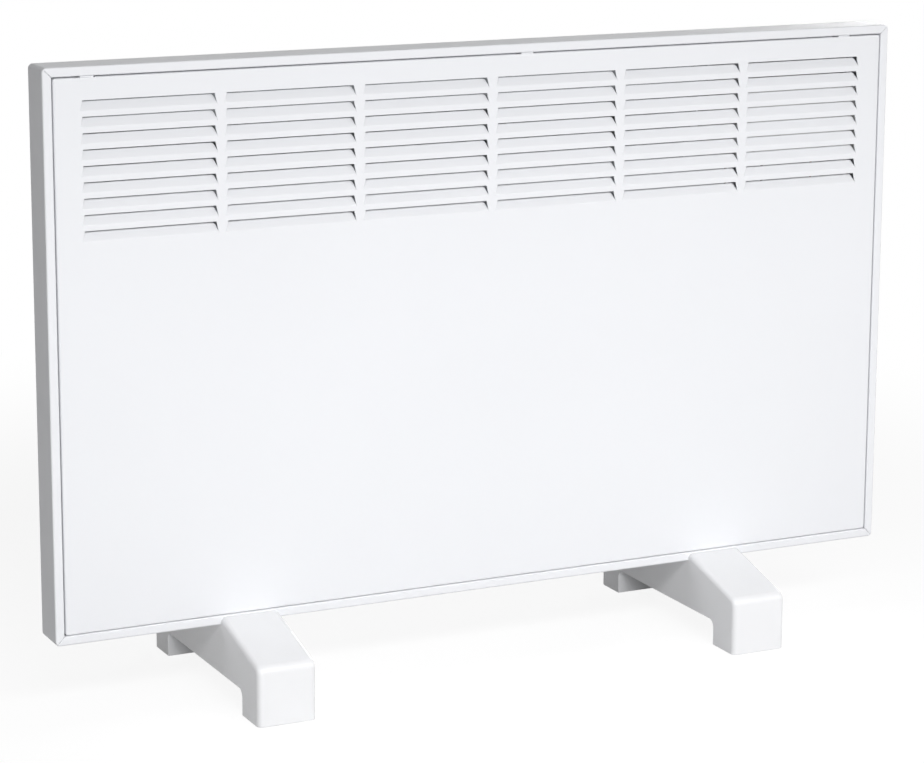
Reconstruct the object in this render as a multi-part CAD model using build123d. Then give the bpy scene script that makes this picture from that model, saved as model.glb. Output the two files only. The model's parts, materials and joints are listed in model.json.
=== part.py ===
from build123d import *
import math
import os

# Wall panel convector heater on two moulded feet.
# +X is to the right of a viewer in front, +Y to the back, +Z up.
# The origin is on the floor, under the middle of the casing. Sizes are in millimetres.

# ---- casing ----
panel_width = 700.0
panel_height = 420.0
body_depth = 71.0
floor_gap = 58.0
sheet = 0.8
fold_radius = 1.3
least_radius = 0.3
small_sides = 8
true_round = None
cut_over = 1.0
touch = 0.001

# ---- casing frame ----
rim_width = 7.0
rim_return = 5.0
frame_corner_radius = 3.5
frame_edge = 0.8
back_flange = 18.0
mitre_gap = 0.3
mitre_land = 1.8

# ---- front panel ----
panel_gap = 0.9
panel_flange = 12.0
panel_corner = 1.0
panel_edge = 0.9
tab_width = 10.0
tab_setback = 0.6
tab_thickness = 0.8
tab_relief_left = 4.0
tab_relief_right = 2.0
tab_left_inset = 33.0
tab_middle = 29.0
tab_right_inset = 41.0

# ---- louvres, cut on three sides and bent inward ----
louvre_side_margin = 15.0
louvre_rows = 9
louvre_column_pitch = 108.5
louvre_row_pitch = 11.63
louvre_width = 103.0
louvre_height = 8.0
louvre_end_slope = 0.85
louvre_top_margin = 24.0
louvre_angle = 36.0
louvre_bend_radius = 1.6
louvre_corner = 1.9
louvre_side_cut = 0.2

# ---- rear cover ----
cover_depth = 39.5
cover_inset = 14.0
cover_flange = 10.0
cover_corner = 6.0
cover_edge = 1.6
cover_screw_margin = 56.0
inlet_length = 60.0
inlet_width = 4.0
inlet_corner = 1.4
inlet_pitch = 72.0
inlet_rows = 3
inlet_row_pitch = 9.0
wall_hole_radius = 2.75
wall_hole_span_x = 450.0
wall_hole_span_z = 250.0
swage_end_margin = 90.0
swage_width = 12.0
swage_corner = 4.0
swage_depth = 1.5
swage_pitch = 80.0
swage_gap = 15.0

# ---- feet ----
foot_inset = 150.7
foot_width = 46.0
foot_reach = 72.0
foot_bend_height = 44.6
foot_front_leg = 31.0
foot_rear_leg = 29.0
foot_arch_height = 20.0
foot_lip_height = 5.8
foot_lip_thickness = 2.2
foot_wall = 3.0
foot_bend_radius = 7.0
foot_arch_radius = 6.0
foot_edge_radius = 4.0
foot_boss_radius = 6.5
foot_seat_thickness = 6.0
foot_front_screw = 15.5
foot_rear_screw = 16.5

# ---- screws and nuts ----
m5_radius = 2.4
m5_clearance = 0.3
m5_head_radius = 4.5
m5_head_height = 3.0
m5_thread_room = 0.1
m5_reach = 12.5
nut_width = 8.0
nut_height = 4.0
small_screw_radius = 1.45
small_screw_room = 0.15
small_head_radius = 3.2
small_head_height = 2.0
small_screw_length = 8.0

# ---- heating element ----
element_left_gap = 100.0
element_right_gap = 145.0
element_height = 92.0
element_y = -1.0
hub_radius = 7.5
arm_length = 27.0
arm_thickness = 2.0
arm_angle = 40.0
fin_thickness = 1.4
fin_lengths = (9.0, 14.0, 19.0)
fin_start = 13.0
fin_pitch = 6.5
rod_radius = 4.25
rod_room = 0.05
rod_overhang = 26.0
pin_radius = 1.5
pin_length = 8.0
insulator_radius = 7.0
insulator_length = 14.0
insulator_collar_radius = 9.5
insulator_collar = 3.0
terminal_radius = 3.0
blade_width = 6.3
blade_thickness = 0.8
blade_length = 10.0
bracket_thickness = 1.2
bracket_gap = 8.0
bracket_height = 46.0
bracket_reach = 14.0
bracket_foot = 16.0
bracket_screw_offset = 14.0

# ---- sheets inside the casing ----
shield_thickness = 0.8
shield_standoff = 8.5
shield_bottom = 40.0
shield_flange = 14.0
shield_side_gap = 2.0
sheet_feet_gap = 37.0
deflector_thickness = 0.8
deflector_left_gap = 25.0
deflector_top_gap = 28.0
deflector_rise = 67.0
deflector_lip_setback = 3.2

# ---- controls on the right side ----
housing_reach = 132.0
housing_room_above = 1.0
housing_room_below = 2.5
housing_wall = 1.5
housing_setback = 8.5
housing_tab = 12.0
plate_thickness = 2.0
plate_width = 33.0
plate_margin_above = 10.5
plate_margin_below = 13.0
plate_corner = 3.0
plate_edge = 0.6
control_setback = 20.5
plate_lap_side = 3.0
plate_lap_end = 9.0
plate_screw_inset = 4.5
plate_screw_length = 5.0
dial_drop = 59.0
dial_switch_gap = 5.5
switch_offset = -6.5
lamp_offset = 9.5
knob_radius = 13.5
knob_flats = 24
knob_height = 10.5
knob_gap = 0.5
knob_skirt = 1.2
knob_base_height = 4.7
knob_taper = 8.0
knob_edge = 0.8
grip_width = 6.0
grip_inset = 1.9
grip_corner = 1.6
grip_edge = 1.0
shaft_radius = 3.0
shaft_room = 0.05
shaft_depth = 14.0
shaft_flat_length = 6.3
shaft_flat_height = 1.5
thermostat_size = 29.0
thermostat_depth = 22.0
thermostat_edge = 2.0
bush_radius = 5.0
bush_room = 0.3
bulb_radius = 3.0
bulb_length = 70.0
bulb_run = 35.0
capillary_radius = 1.0
switch_length = 19.0
switch_width = 12.6
switch_depth = 24.0
switch_bezel = 1.2
switch_bezel_rim = 1.3
switch_bezel_edge = 0.5
switch_blade_offset = 4.75
switch_room = 0.25
rocker_length = 15.0
rocker_width = 8.6
rocker_angle = 9.0
rocker_axis_depth = 1.8
rocker_tip = 3.0
rocker_dip = 2.6
rocker_belly = 1.8
rocker_belly_length = 8.2
rocker_edge = 0.5
rocker_pocket = 6.0
lamp_radius = 3.0
lamp_depth = 12.0
lamp_collar = 0.9
lamp_rise = 1.8
lamp_edge = 0.9

# ---- electrical pieces ----
cutout_radius = 8.0
cutout_height = 7.0
cutout_edge = 0.8
cutout_inset = 85.0
cutout_z = 150.0
cutout_ear_length = 24.0
cutout_ear_height = 8.0
cutout_blade_offset = 3.6
cutout_blade_width = 3.2
block_z = 62.0
block_length = 38.0
block_depth = 14.0
block_height = 22.0
block_edge = 1.5
block_ways = 3
block_screw_radius = 3.5
block_screw_depth = 5.6
tilt_offset = 2.0
tilt_z = 112.0
tilt_width = 24.0
tilt_depth = 18.0
tilt_height = 30.0
tilt_edge = 1.2
earth_offset = 25.0
earth_z = 40.0
earth_stud_length = 10.0
earth_ring_radius = 4.8
earth_barrel = 11.0
crimp_wall = 0.5
gland_inset = 60.0
gland_setback = 21.5
gland_radius = 6.0
gland_bore = 3.75
gland_collar_radius = 9.0
gland_collar = 4.0
gland_nut_width = 17.0
gland_nut_height = 4.0
gland_thread = 9.0
gland_edge = 1.0
lead_radius = 1.2
lead_sides = 6
lead_bend = 5.0
lead_run = 18.0
lead_loop = 20.0
lead_drop = 36.0
lead_hole_radius = 2.4
lead_setback = 8.5
live_offset = 16.0
load_offset = 50.0
floor_lead_height = 12.0
capillary_offset = 26.0
capillary_setback = 15.5
bulb_height = 14.0

# ---- places worked out from the sizes ----
front_y = -body_depth / 2
rear_y = body_depth / 2
frame_back_y = rear_y - cover_depth
back_wall_y = rear_y - sheet
bottom_z = floor_gap
top_z = floor_gap + panel_height
middle_z = floor_gap + panel_height / 2
half_width = panel_width / 2
cover_side_x = half_width - cover_inset
cover_bottom_z = bottom_z + cover_inset
opening_width = panel_width - 2 * rim_width
opening_height = panel_height - 2 * rim_width
face_width = opening_width - 2 * panel_gap
face_height = opening_height - 2 * panel_gap
face_top_z = middle_z + face_height / 2
foot_tip_y = rear_y + foot_reach
foot_centre = half_width - foot_inset
louvre_columns = int((face_width - 2 * louvre_side_margin - louvre_width) // louvre_column_pitch) + 1
tab_centres = (-half_width + tab_left_inset, tab_middle, half_width - tab_right_inset)
swage_length = panel_width - 2 * swage_end_margin

element_left = -half_width + element_left_gap
element_right = half_width - element_right_gap
element_z = bottom_z + element_height
deflector_left = -half_width + deflector_left_gap
deflector_high_z = top_z - deflector_top_gap
deflector_low_z = deflector_high_z - deflector_rise
deflector_foot_z = deflector_low_z - shield_flange
shield_low_z = bottom_z + shield_bottom
shield_high_z = deflector_foot_z - sheet_feet_gap - shield_flange
swage_high_z = deflector_foot_z - swage_gap - swage_width / 2
swage_rise = swage_high_z - swage_width - element_z - bracket_height / 2
swage_count = int(swage_rise // swage_pitch) + 1

control_y = rear_y - control_setback
gland_y = rear_y - gland_setback
lead_y = rear_y - lead_setback
capillary_y = rear_y - capillary_setback
dial_z = top_z - dial_drop
switch_z = dial_z - thermostat_size / 2 - dial_switch_gap - switch_length / 2
switch_y = control_y + switch_offset
housing_left = half_width - housing_reach
housing_high_z = dial_z + thermostat_size / 2 + housing_room_above + housing_wall
housing_low_z = switch_z - switch_length / 2 - housing_room_below - housing_wall
plate_high_z = dial_z + knob_radius + plate_margin_above
plate_low_z = switch_z - switch_length / 2 - plate_margin_below
plate_middle_z = (plate_low_z + plate_high_z) / 2
plate_height = plate_high_z - plate_low_z

gland_x = half_width - gland_inset
block_x = gland_x
tilt_x = gland_x + tilt_offset
live_x = block_x - live_offset
load_x = block_x - load_offset
capillary_x = block_x + capillary_offset
earth_x = block_x - block_length / 2 - earth_offset
cutout_x = element_right - cutout_inset


def block(xs, ys, zs):
    """A box between three pairs of limits."""
    size = (xs[1] - xs[0], ys[1] - ys[0], zs[1] - zs[0])
    centre = (sum(xs) / 2, sum(ys) / 2, sum(zs) / 2)
    return Pos(*centre) * Box(*size)


def along_x(sketch, x0, x1):
    """A sketch drawn on (Y, Z), extruded from x0 to x1."""
    plane = Plane(origin=(x0, 0, 0), x_dir=(0, 1, 0), z_dir=(1, 0, 0))
    return extrude(plane * sketch, amount=x1 - x0)


def along_y(sketch, y0, y1):
    """A sketch drawn on (X, Z), extruded from y0 to y1."""
    plane = Plane(origin=(0, y1, 0), x_dir=(1, 0, 0), z_dir=(0, -1, 0))
    return extrude(plane * sketch, amount=y1 - y0)


def along_z(sketch, z0, z1):
    """A sketch drawn on (X, Y), extruded from z0 to z1."""
    return extrude(Plane.XY.offset(z0) * sketch, amount=z1 - z0)


def slab(width, height, radius, y0, y1):
    """An upright slab with rounded corners, centred on the casing."""
    return along_y(Pos(0, middle_z) * RectangleRounded(width, height, radius), y0, y1)


def cut_rectangle(width, height, corner):
    """A rectangle with its corners cut at 45 degrees."""
    blank = Rectangle(width, height)
    return chamfer(blank.vertices(), corner)


def cut_slab(width, height, corner, y0, y1):
    """An upright slab with cut corners, centred on the casing."""
    return along_y(Pos(0, middle_z) * cut_rectangle(width, height, corner), y0, y1)


def disc(radius, sides):
    """A circle, or the polygon that stands for it where a small round is kept light."""
    return Circle(radius) if sides is true_round else RegularPolygon(radius, sides)


def rod_x(radius, y, z, x0, x1, sides=small_sides):
    """A bar along X."""
    return along_x(Pos(y, z) * disc(radius, sides), x0, x1)


def rod_y(radius, x, z, y0, y1, sides=small_sides):
    """A bar along Y."""
    return along_y(Pos(x, z) * disc(radius, sides), y0, y1)


def rod_z(radius, x, y, z0, z1, sides=small_sides):
    """A bar along Z."""
    return along_z(Pos(x, y) * disc(radius, sides), z0, z1)


def outline(*points):
    """A face inside straight lines."""
    return make_face(Polyline(*points, close=True))


def bent_strip(points, thickness):
    """The section of a bent sheet that follows a line of points."""
    return trace(Polyline(*points), line_width=thickness)


def group(solids):
    """Several separate solids as one node."""
    return Compound(children=list(solids))


def edges_at_y(part, y):
    """The edges that lie on the plane of a given Y."""
    return part.edges().filter_by_position(Axis.Y, y - touch, y + touch)


# ---- casing frame ----

def mitre_cuts():
    """The four thin cuts where the folded rim meets at its corners."""
    start = -2 * sheet
    reach = (rim_width - mitre_land) * math.sqrt(2)
    depth = (front_y - cut_over, front_y + rim_return + cut_over)
    cut = block((start, reach), depth, (-mitre_gap / 2, mitre_gap / 2))
    corners = ((1, 1, -45), (-1, 1, -135), (-1, -1, 135), (1, -1, 45))
    for side, level, turn in corners:
        x = side * opening_width / 2
        z = middle_z + level * opening_height / 2
        yield Pos(x, 0, z) * Rot(0, turn, 0) * cut


def cover_screw_places():
    """Where the rear cover's flange is screwed to the frame."""
    edge_x = half_width - cover_inset + cover_flange / 2
    edge_z = panel_height / 2 - cover_inset + cover_flange / 2
    spread_x = half_width - cover_screw_margin
    for level in (-1, 1):
        for step in (-1, 0, 1):
            yield step * spread_x, middle_z + level * edge_z
    for side in (-1, 1):
        yield side * edge_x, middle_z


def foot_screw_places():
    """Each foot screw's side, its place along the foot and the height of the wall it meets."""
    for side in (-1, 1):
        yield side * foot_centre, front_y + foot_front_screw, bottom_z
        yield side * foot_centre, rear_y - foot_rear_screw, cover_bottom_z


def make_casing_frame():
    """A folded frame: side walls, front rim with a short return, back flange."""
    body = slab(panel_width, panel_height, frame_corner_radius, front_y, frame_back_y)
    body = chamfer(edges_at_y(body, front_y), frame_edge)
    inner_radius = max(frame_corner_radius - sheet, least_radius)
    inside = slab(panel_width - 2 * sheet, panel_height - 2 * sheet, inner_radius,
                  front_y + sheet, frame_back_y - sheet)
    returned = block(
        (-opening_width / 2 - sheet, opening_width / 2 + sheet),
        (front_y, front_y + rim_return),
        (middle_z - opening_height / 2 - sheet, middle_z + opening_height / 2 + sheet))
    opening = block(
        (-opening_width / 2, opening_width / 2),
        (front_y - cut_over, front_y + rim_return + cut_over),
        (middle_z - opening_height / 2, middle_z + opening_height / 2))
    back_opening = block(
        (-half_width + back_flange, half_width - back_flange),
        (frame_back_y - sheet - cut_over, frame_back_y + cut_over),
        (bottom_z + back_flange, top_z - back_flange))
    frame = body - inside + returned - opening - back_opening
    lip_edges = edges_at_y(frame, front_y)
    lip_edges = lip_edges.filter_by_position(Axis.X, -opening_width / 2 - touch, opening_width / 2 + touch)
    lip_edges = lip_edges.filter_by_position(
        Axis.Z, middle_z - opening_height / 2 - touch, middle_z + opening_height / 2 + touch)
    frame = chamfer(lip_edges, frame_edge)
    frame -= list(mitre_cuts())
    hole = small_screw_radius + small_screw_room
    for x, z in cover_screw_places():
        frame -= rod_y(hole, x, z, frame_back_y - sheet - cut_over, frame_back_y + cut_over)
    for x, y, z in foot_screw_places():
        if z == bottom_z:
            frame -= rod_z(m5_radius + m5_clearance, x, y, z - cut_over, z + sheet + cut_over)
    return frame


# ---- front panel ----

def louvre_places():
    """Middle and bend line of every louvre."""
    first_bend = top_z - louvre_top_margin - louvre_height
    for column in range(louvre_columns):
        x = (column - (louvre_columns - 1) / 2) * louvre_column_pitch
        for row in range(louvre_rows):
            yield x, first_bend - row * louvre_row_pitch


def louvre_hole():
    """The opening that a louvre's blade leaves in the sheet."""
    half = louvre_width / 2
    top = half - louvre_end_slope
    face = outline((-half, 0), (half, 0), (top, louvre_height), (-top, louvre_height))
    return along_y(face, -cut_over, sheet + cut_over)


def louvre_blade():
    """The blade: a bend at the bottom line, then a flat flap with cut top corners."""
    turn = math.radians(louvre_angle)
    outer = louvre_bend_radius
    inner = outer - sheet
    flat = louvre_height - (outer + inner) / 2 * turn
    along = Vector(math.sin(turn), math.cos(turn))
    through = Vector(math.cos(turn), -math.sin(turn))

    def on_bend(radius, angle):
        return Vector(outer - radius * math.cos(angle), radius * math.sin(angle))

    front_tip = on_bend(outer, turn) + along * flat
    back_tip = front_tip + through * sheet
    section = outline(
        (0, -sheet / 2), on_bend(outer, 0), on_bend(outer, turn), front_tip,
        back_tip, on_bend(inner, turn), on_bend(inner, 0), (sheet, -sheet / 2))
    half = louvre_width / 2 - louvre_side_cut
    top = half - louvre_end_slope
    shoulder = front_tip.Y - louvre_corner
    trim = outline(
        (-half, -sheet), (half, -sheet), (half, 0), (top, shoulder), (top - louvre_corner, front_tip.Y),
        (louvre_corner - top, front_tip.Y), (-top, shoulder), (-half, 0))
    blade = along_x(section, -half, half)
    return blade & along_y(trim, -sheet, louvre_height + sheet)


def tab_reliefs():
    """Notches in the panel's folded edge beside each hanging tab."""
    for centre in tab_centres:
        left = centre - tab_width / 2
        right = centre + tab_width / 2
        for start, end in ((left - tab_relief_left, left), (right, right + tab_relief_right)):
            yield block((start, end), (front_y + fold_radius, front_y + panel_flange + cut_over),
                        (face_top_z - sheet - cut_over, face_top_z + cut_over))


def make_front_panel():
    """The pressed front: a sheet with folded edges and the field of louvres."""
    pan = cut_slab(face_width, face_height, panel_corner, front_y, front_y + panel_flange)
    pan = chamfer(edges_at_y(pan, front_y), panel_edge)
    pan -= cut_slab(face_width - 2 * sheet, face_height - 2 * sheet, least_radius,
                    front_y + sheet, front_y + panel_flange + cut_over)
    hole = louvre_hole()
    blade = louvre_blade()
    places = [Pos(x, front_y, z) for x, z in louvre_places()]
    pan -= [place * hole for place in places]
    pan -= list(tab_reliefs())
    return pan + [place * blade for place in places]


def make_panel_tabs():
    """Tabs that hang the panel on the frame; their noses fill the gap above the panel."""
    wall_z = top_z - sheet
    nose_y = front_y + tab_setback
    rise_y = front_y + panel_flange - tab_thickness
    middle = face_top_z + tab_thickness / 2
    strip = bent_strip(
        [(nose_y, middle), (rise_y, middle), (rise_y, wall_z - tab_thickness / 2),
         (rise_y + panel_flange / 2, wall_z - tab_thickness / 2)], tab_thickness)
    half = tab_width / 2
    return group(along_x(strip, centre - half, centre + half) for centre in tab_centres)


# ---- rear cover ----

def inlet_places():
    """Middles of the air inlets in the underside, clear of the feet and the cord inlet."""
    reach = cover_side_x - cover_corner - inlet_length / 2
    count = int(reach // inlet_pitch)
    for step in range(-count, count + 1):
        x = step * inlet_pitch
        if abs(abs(x) - foot_centre) < (foot_width + inlet_length) / 2:
            continue
        if abs(x - gland_x) < inlet_length / 2 + gland_collar_radius + inlet_width:
            continue
        for row in range(inlet_rows):
            yield x, control_y + (row - (inlet_rows - 1) / 2) * inlet_row_pitch


def wall_hole_places():
    """The four holes that take a wall bracket."""
    for side in (-1, 1):
        for level in (-1, 1):
            yield side * wall_hole_span_x / 2, middle_z + level * wall_hole_span_z / 2


def swage_heights():
    """Heights of the pressed stiffening grooves in the back."""
    for step in range(swage_count):
        yield swage_high_z - step * swage_pitch


def make_rear_cover():
    """A pressed box with an outward flange, air inlets below and grooves in its back."""
    width = panel_width - 2 * cover_inset
    height = panel_height - 2 * cover_inset
    inner_cut = (2 - math.sqrt(2)) * sheet
    body = cut_slab(width, height, cover_corner, frame_back_y, rear_y)
    body = chamfer(edges_at_y(body, rear_y), cover_edge)
    body += cut_slab(width + 2 * cover_flange, height + 2 * cover_flange, cover_corner,
                     frame_back_y, frame_back_y + sheet)
    inside = cut_slab(width - 2 * sheet, height - 2 * sheet, cover_corner - inner_cut,
                      frame_back_y - cut_over, back_wall_y)
    inside = chamfer(edges_at_y(inside, back_wall_y), max(cover_edge - inner_cut, least_radius))
    cover = body - inside
    for z in swage_heights():
        groove = Pos(0, z) * cut_rectangle(swage_length, swage_width, swage_corner)
        ridge = Pos(0, z) * cut_rectangle(
            swage_length + 2 * sheet, swage_width + 2 * sheet, swage_corner + inner_cut)
        cover += along_y(ridge, back_wall_y - swage_depth, back_wall_y)
        cover -= along_y(groove, rear_y - swage_depth, rear_y + cut_over)
    return cover - list(cover_holes())


def cover_holes():
    """Everything that is cut through the rear cover: inlets, holes and the controls' opening."""
    low_z = cover_bottom_z - cut_over
    high_z = cover_bottom_z + sheet + cut_over
    slot = cut_rectangle(inlet_length, inlet_width, inlet_corner)
    slots = Sketch() + [Pos(x, y) * slot for x, y in inlet_places()]
    yield along_z(slots, low_z, high_z)
    for x, z in wall_hole_places():
        yield rod_y(wall_hole_radius, x, z, back_wall_y - cut_over, rear_y + cut_over, true_round)
    small_hole = small_screw_radius + small_screw_room
    for x, z in cover_screw_places():
        yield rod_y(small_hole, x, z, frame_back_y - cut_over, frame_back_y + sheet + cut_over)
    for x, y, z in foot_screw_places():
        if z == cover_bottom_z:
            yield rod_z(m5_radius + m5_clearance, x, y, low_z, high_z)
    yield rod_z(gland_radius + m5_clearance, gland_x, gland_y, low_z, high_z)
    inner_x = cover_side_x - sheet - cut_over
    outer_x = cover_side_x + cut_over
    yield control_cutout(inner_x, outer_x)
    for y, z in plate_screw_places():
        yield rod_x(small_hole, y, z, inner_x, outer_x)


# ---- feet ----

def foot_slopes():
    """Steepness of the front and the rear slope, as rise over run."""
    front_rise = bottom_z + foot_lip_height - foot_bend_height
    rear_rise = cover_bottom_z + foot_lip_height - foot_bend_height
    run = foot_reach - foot_lip_thickness
    return front_rise / run, rear_rise / run


def foot_side_view():
    """The foot's outline from the side: leg, slope, lip, stepped seat, lip, slope, leg."""
    step_y = frame_back_y + sheet + m5_clearance
    front_top = bottom_z + foot_lip_height
    rear_top = cover_bottom_z + foot_lip_height
    corners = [
        (-foot_tip_y, 0, 0),
        (-foot_tip_y, foot_bend_height, foot_bend_radius),
        (front_y - foot_lip_thickness, front_top, 0),
        (front_y, front_top, 0),
        (front_y, bottom_z, 0),
        (step_y, bottom_z, 0),
        (step_y, cover_bottom_z, 0),
        (rear_y, cover_bottom_z, 0),
        (rear_y, rear_top, 0),
        (rear_y + foot_lip_thickness, rear_top, 0),
        (foot_tip_y, foot_bend_height, foot_bend_radius),
        (foot_tip_y, 0, 0),
        (foot_tip_y - foot_rear_leg, 0, 0),
        (foot_tip_y - foot_rear_leg, foot_arch_height, foot_arch_radius),
        (-foot_tip_y + foot_front_leg, foot_arch_height, foot_arch_radius),
        (-foot_tip_y + foot_front_leg, 0, 0),
    ]
    points = [(y, z) for y, z, radius in corners]
    radii = [radius for y, z, radius in corners]
    return make_face(FilletPolyline(*points, radius=radii, close=True))


def foot_hollow_view():
    """The hollow's outline from the side: one wall inside the skin, open below."""
    wall = foot_wall
    step_y = frame_back_y + sheet + m5_clearance + wall
    limits = []
    for slope, seat in zip(foot_slopes(), (bottom_z, cover_bottom_z)):
        drop = wall * math.sqrt(1 + slope * slope)
        start = foot_bend_height + wall * slope - drop
        meet = (seat - wall - foot_bend_height + drop) / slope
        limits.append((start, meet))
    (front_start, front_meet), (rear_start, rear_meet) = limits
    return outline(
        (-foot_tip_y + wall, -cut_over), (-foot_tip_y + wall, front_start),
        (-foot_tip_y + front_meet, bottom_z - wall), (step_y, bottom_z - wall),
        (step_y, cover_bottom_z - wall), (foot_tip_y - rear_meet, cover_bottom_z - wall),
        (foot_tip_y - wall, rear_start), (foot_tip_y - wall, -cut_over))


def foot_ribs(x0, x1):
    """Cross walls: the legs' inner walls and two ribs under the seat."""
    inner_front = -foot_tip_y + foot_front_leg
    inner_rear = foot_tip_y - foot_rear_leg
    wall = foot_wall
    places = (
        (inner_front - wall, 0), (inner_rear, 0),
        (front_y - wall, foot_arch_height), (rear_y, foot_arch_height))
    for y, low in places:
        yield block((x0, x1), (y, y + wall), (low, cover_bottom_z))


def make_foot(side):
    """One moulded foot, hollow from below, with two screw bosses."""
    x0 = side * foot_centre - foot_width / 2
    x1 = side * foot_centre + foot_width / 2
    full = along_x(foot_side_view(), x0, x1)

    def on_skin(edge):
        middle = edge.center()
        on_side = min(abs(middle.X - x0), abs(middle.X - x1)) < touch
        leg_face = abs(middle.Y) > foot_tip_y - touch
        slope_face = abs(middle.Y) > rear_y + touch and middle.Z > foot_arch_height + touch
        lip_side = abs(middle.Y) < rear_y + foot_lip_thickness and edge.length > foot_lip_thickness + touch
        return on_side and (leg_face or slope_face) and not lip_side

    full = fillet(full.edges().filter_by(on_skin), foot_edge_radius)
    hollow = along_x(foot_hollow_view(), x0 + foot_wall, x1 - foot_wall)
    inner = list(foot_ribs(x0, x1))
    for x, y, seat in foot_screw_places():
        if x * side > 0:
            inner.append(rod_z(foot_boss_radius, x, y, foot_arch_height, seat))
    foot = full - (hollow - inner)
    for x, y, seat in foot_screw_places():
        if x * side > 0:
            foot -= rod_z(m5_radius + m5_clearance, x, y, 0, seat + cut_over)
            foot -= rod_z(m5_head_radius + m5_clearance, x, y, 0, seat - foot_seat_thickness)
    return foot


# ---- screws and nuts ----

def pan_screw(radius, length, head_radius, head_height):
    """A flat-head screw along +Z, its head's seat at the origin."""
    return rod_z(radius, 0, 0, 0, length) + rod_z(head_radius, 0, 0, -head_height, 0)


def hex_nut(width, height, bore):
    """A nut standing on the origin."""
    blank = RegularPolygon(width / 2, 6, major_radius=False) - disc(bore, small_sides)
    return extrude(blank, amount=height)


def make_foot_screws():
    """Screws that come up through the feet into the casing's underside."""
    screw = pan_screw(m5_radius, m5_reach, m5_head_radius, m5_head_height)
    return group(Pos(x, y, seat - foot_seat_thickness) * screw for x, y, seat in foot_screw_places())


def make_clinch_nuts():
    """Nuts clinched inside the casing above the feet."""
    nut = hex_nut(nut_width, nut_height, m5_radius + m5_thread_room)
    return group(Pos(x, y, seat + sheet) * nut for x, y, seat in foot_screw_places())


def make_rear_cover_screws():
    """Screws that hold the rear cover's flange to the frame."""
    screw = Rot(90, 0, 0) * pan_screw(
        small_screw_radius, small_screw_length, small_head_radius, small_head_height)
    return group(Pos(x, frame_back_y + sheet, z) * screw for x, z in cover_screw_places())


# ---- heating element ----

def element_section():
    """Hub, four arms and their cross fins, drawn on (Y, Z)."""
    section = Sketch() + disc(hub_radius, small_sides)
    for turn in (arm_angle, -arm_angle, 180 + arm_angle, 180 - arm_angle):
        arm = Pos(0, arm_length / 2) * Rectangle(arm_thickness, arm_length)
        fins = [
            Pos(0, fin_start + step * fin_pitch) * Rectangle(length, fin_thickness)
            for step, length in enumerate(fin_lengths)]
        section += Rot(0, 0, turn) * (Sketch() + arm + fins)
    return section - disc(rod_radius + rod_room, small_sides)


def make_element_body():
    """The extruded aluminium body that gives its heat to the air."""
    return along_x(Pos(element_y, element_z) * element_section(), element_left, element_right)


def make_element_rod():
    """The sheathed rod, with a thin pin at each end."""
    start = element_left - rod_overhang
    end = element_right + rod_overhang
    rod = rod_x(rod_radius, element_y, element_z, start, end)
    return rod + rod_x(pin_radius, element_y, element_z, start - pin_length, end + pin_length)


def element_ends():
    """Each end of the element: its place and the way that it points."""
    yield element_left, -1
    yield element_right, 1


def make_element_insulators():
    """Ceramic bushes that carry the rod in its brackets."""
    solids = []
    for end, way in element_ends():
        collar = end + way * (bracket_gap - insulator_collar)
        seat = end + way * bracket_gap
        tip = seat + way * (insulator_length - insulator_collar)
        low, high = sorted((collar, seat))
        bush = rod_x(insulator_collar_radius, element_y, element_z, low, high)
        low, high = sorted((seat, tip))
        bush += rod_x(insulator_radius, element_y, element_z, low, high)
        low, high = sorted((collar - way, tip + way))
        solids.append(bush - rod_x(rod_radius + rod_room, element_y, element_z, low, high))
    return group(solids)


def make_element_terminals():
    """Push-on blades crimped to the rod's pins."""
    solids = []
    for end, way in element_ends():
        start = end + way * rod_overhang
        sleeve_end = start + way * pin_length
        tip = sleeve_end + way * blade_length
        low, high = sorted((start, sleeve_end))
        sleeve = rod_x(terminal_radius, element_y, element_z, low, high)
        sleeve -= rod_x(pin_radius + rod_room, element_y, element_z, low, high)
        root = sorted((sleeve_end - way * blade_thickness, tip))
        blade = block(root, (element_y - blade_thickness / 2, element_y + blade_thickness / 2),
                      (element_z - blade_width / 2, element_z + blade_width / 2))
        blade -= rod_x(pin_radius + rod_room, element_y, element_z, *sorted((start, sleeve_end)))
        low, high = sorted((sleeve_end, sleeve_end + way * blade_thickness))
        cap = rod_x(terminal_radius, element_y, element_z, low, high)
        solids.append(sleeve + cap + blade)
    return group(solids)


def bracket_screw_places():
    """Screws through the element brackets' feet into the back wall."""
    for end, way in element_ends():
        x = end + way * (bracket_gap + bracket_thickness + bracket_foot / 2)
        for level in (-1, 1):
            yield x, element_z + level * bracket_screw_offset


def make_element_bracket(end, way):
    """A folded bracket that reaches forward from the back wall and holds one bush."""
    inner = end + way * bracket_gap
    outer = inner + way * bracket_thickness
    foot_end = outer + way * bracket_foot
    zs = (element_z - bracket_height / 2, element_z + bracket_height / 2)
    plate = block(sorted((inner, outer)), (element_y - bracket_reach, back_wall_y), zs)
    plate += block(sorted((inner, foot_end)), (back_wall_y - bracket_thickness, back_wall_y), zs)
    plate -= rod_x(insulator_radius + rod_room, element_y, element_z, *sorted((inner - way, outer + way)))
    for x, z in bracket_screw_places():
        plate -= rod_y(small_screw_radius + small_screw_room, x, z,
                       back_wall_y - bracket_thickness - cut_over, back_wall_y + cut_over)
    return plate


def make_element_bracket_screws():
    """Short screws that hold the brackets to the back wall."""
    screw = Rot(-90, 0, 0) * pan_screw(
        small_screw_radius, bracket_thickness, small_head_radius, small_head_height)
    return group(Pos(x, back_wall_y - bracket_thickness, z) * screw for x, z in bracket_screw_places())


# ---- sheets inside the casing ----

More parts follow.
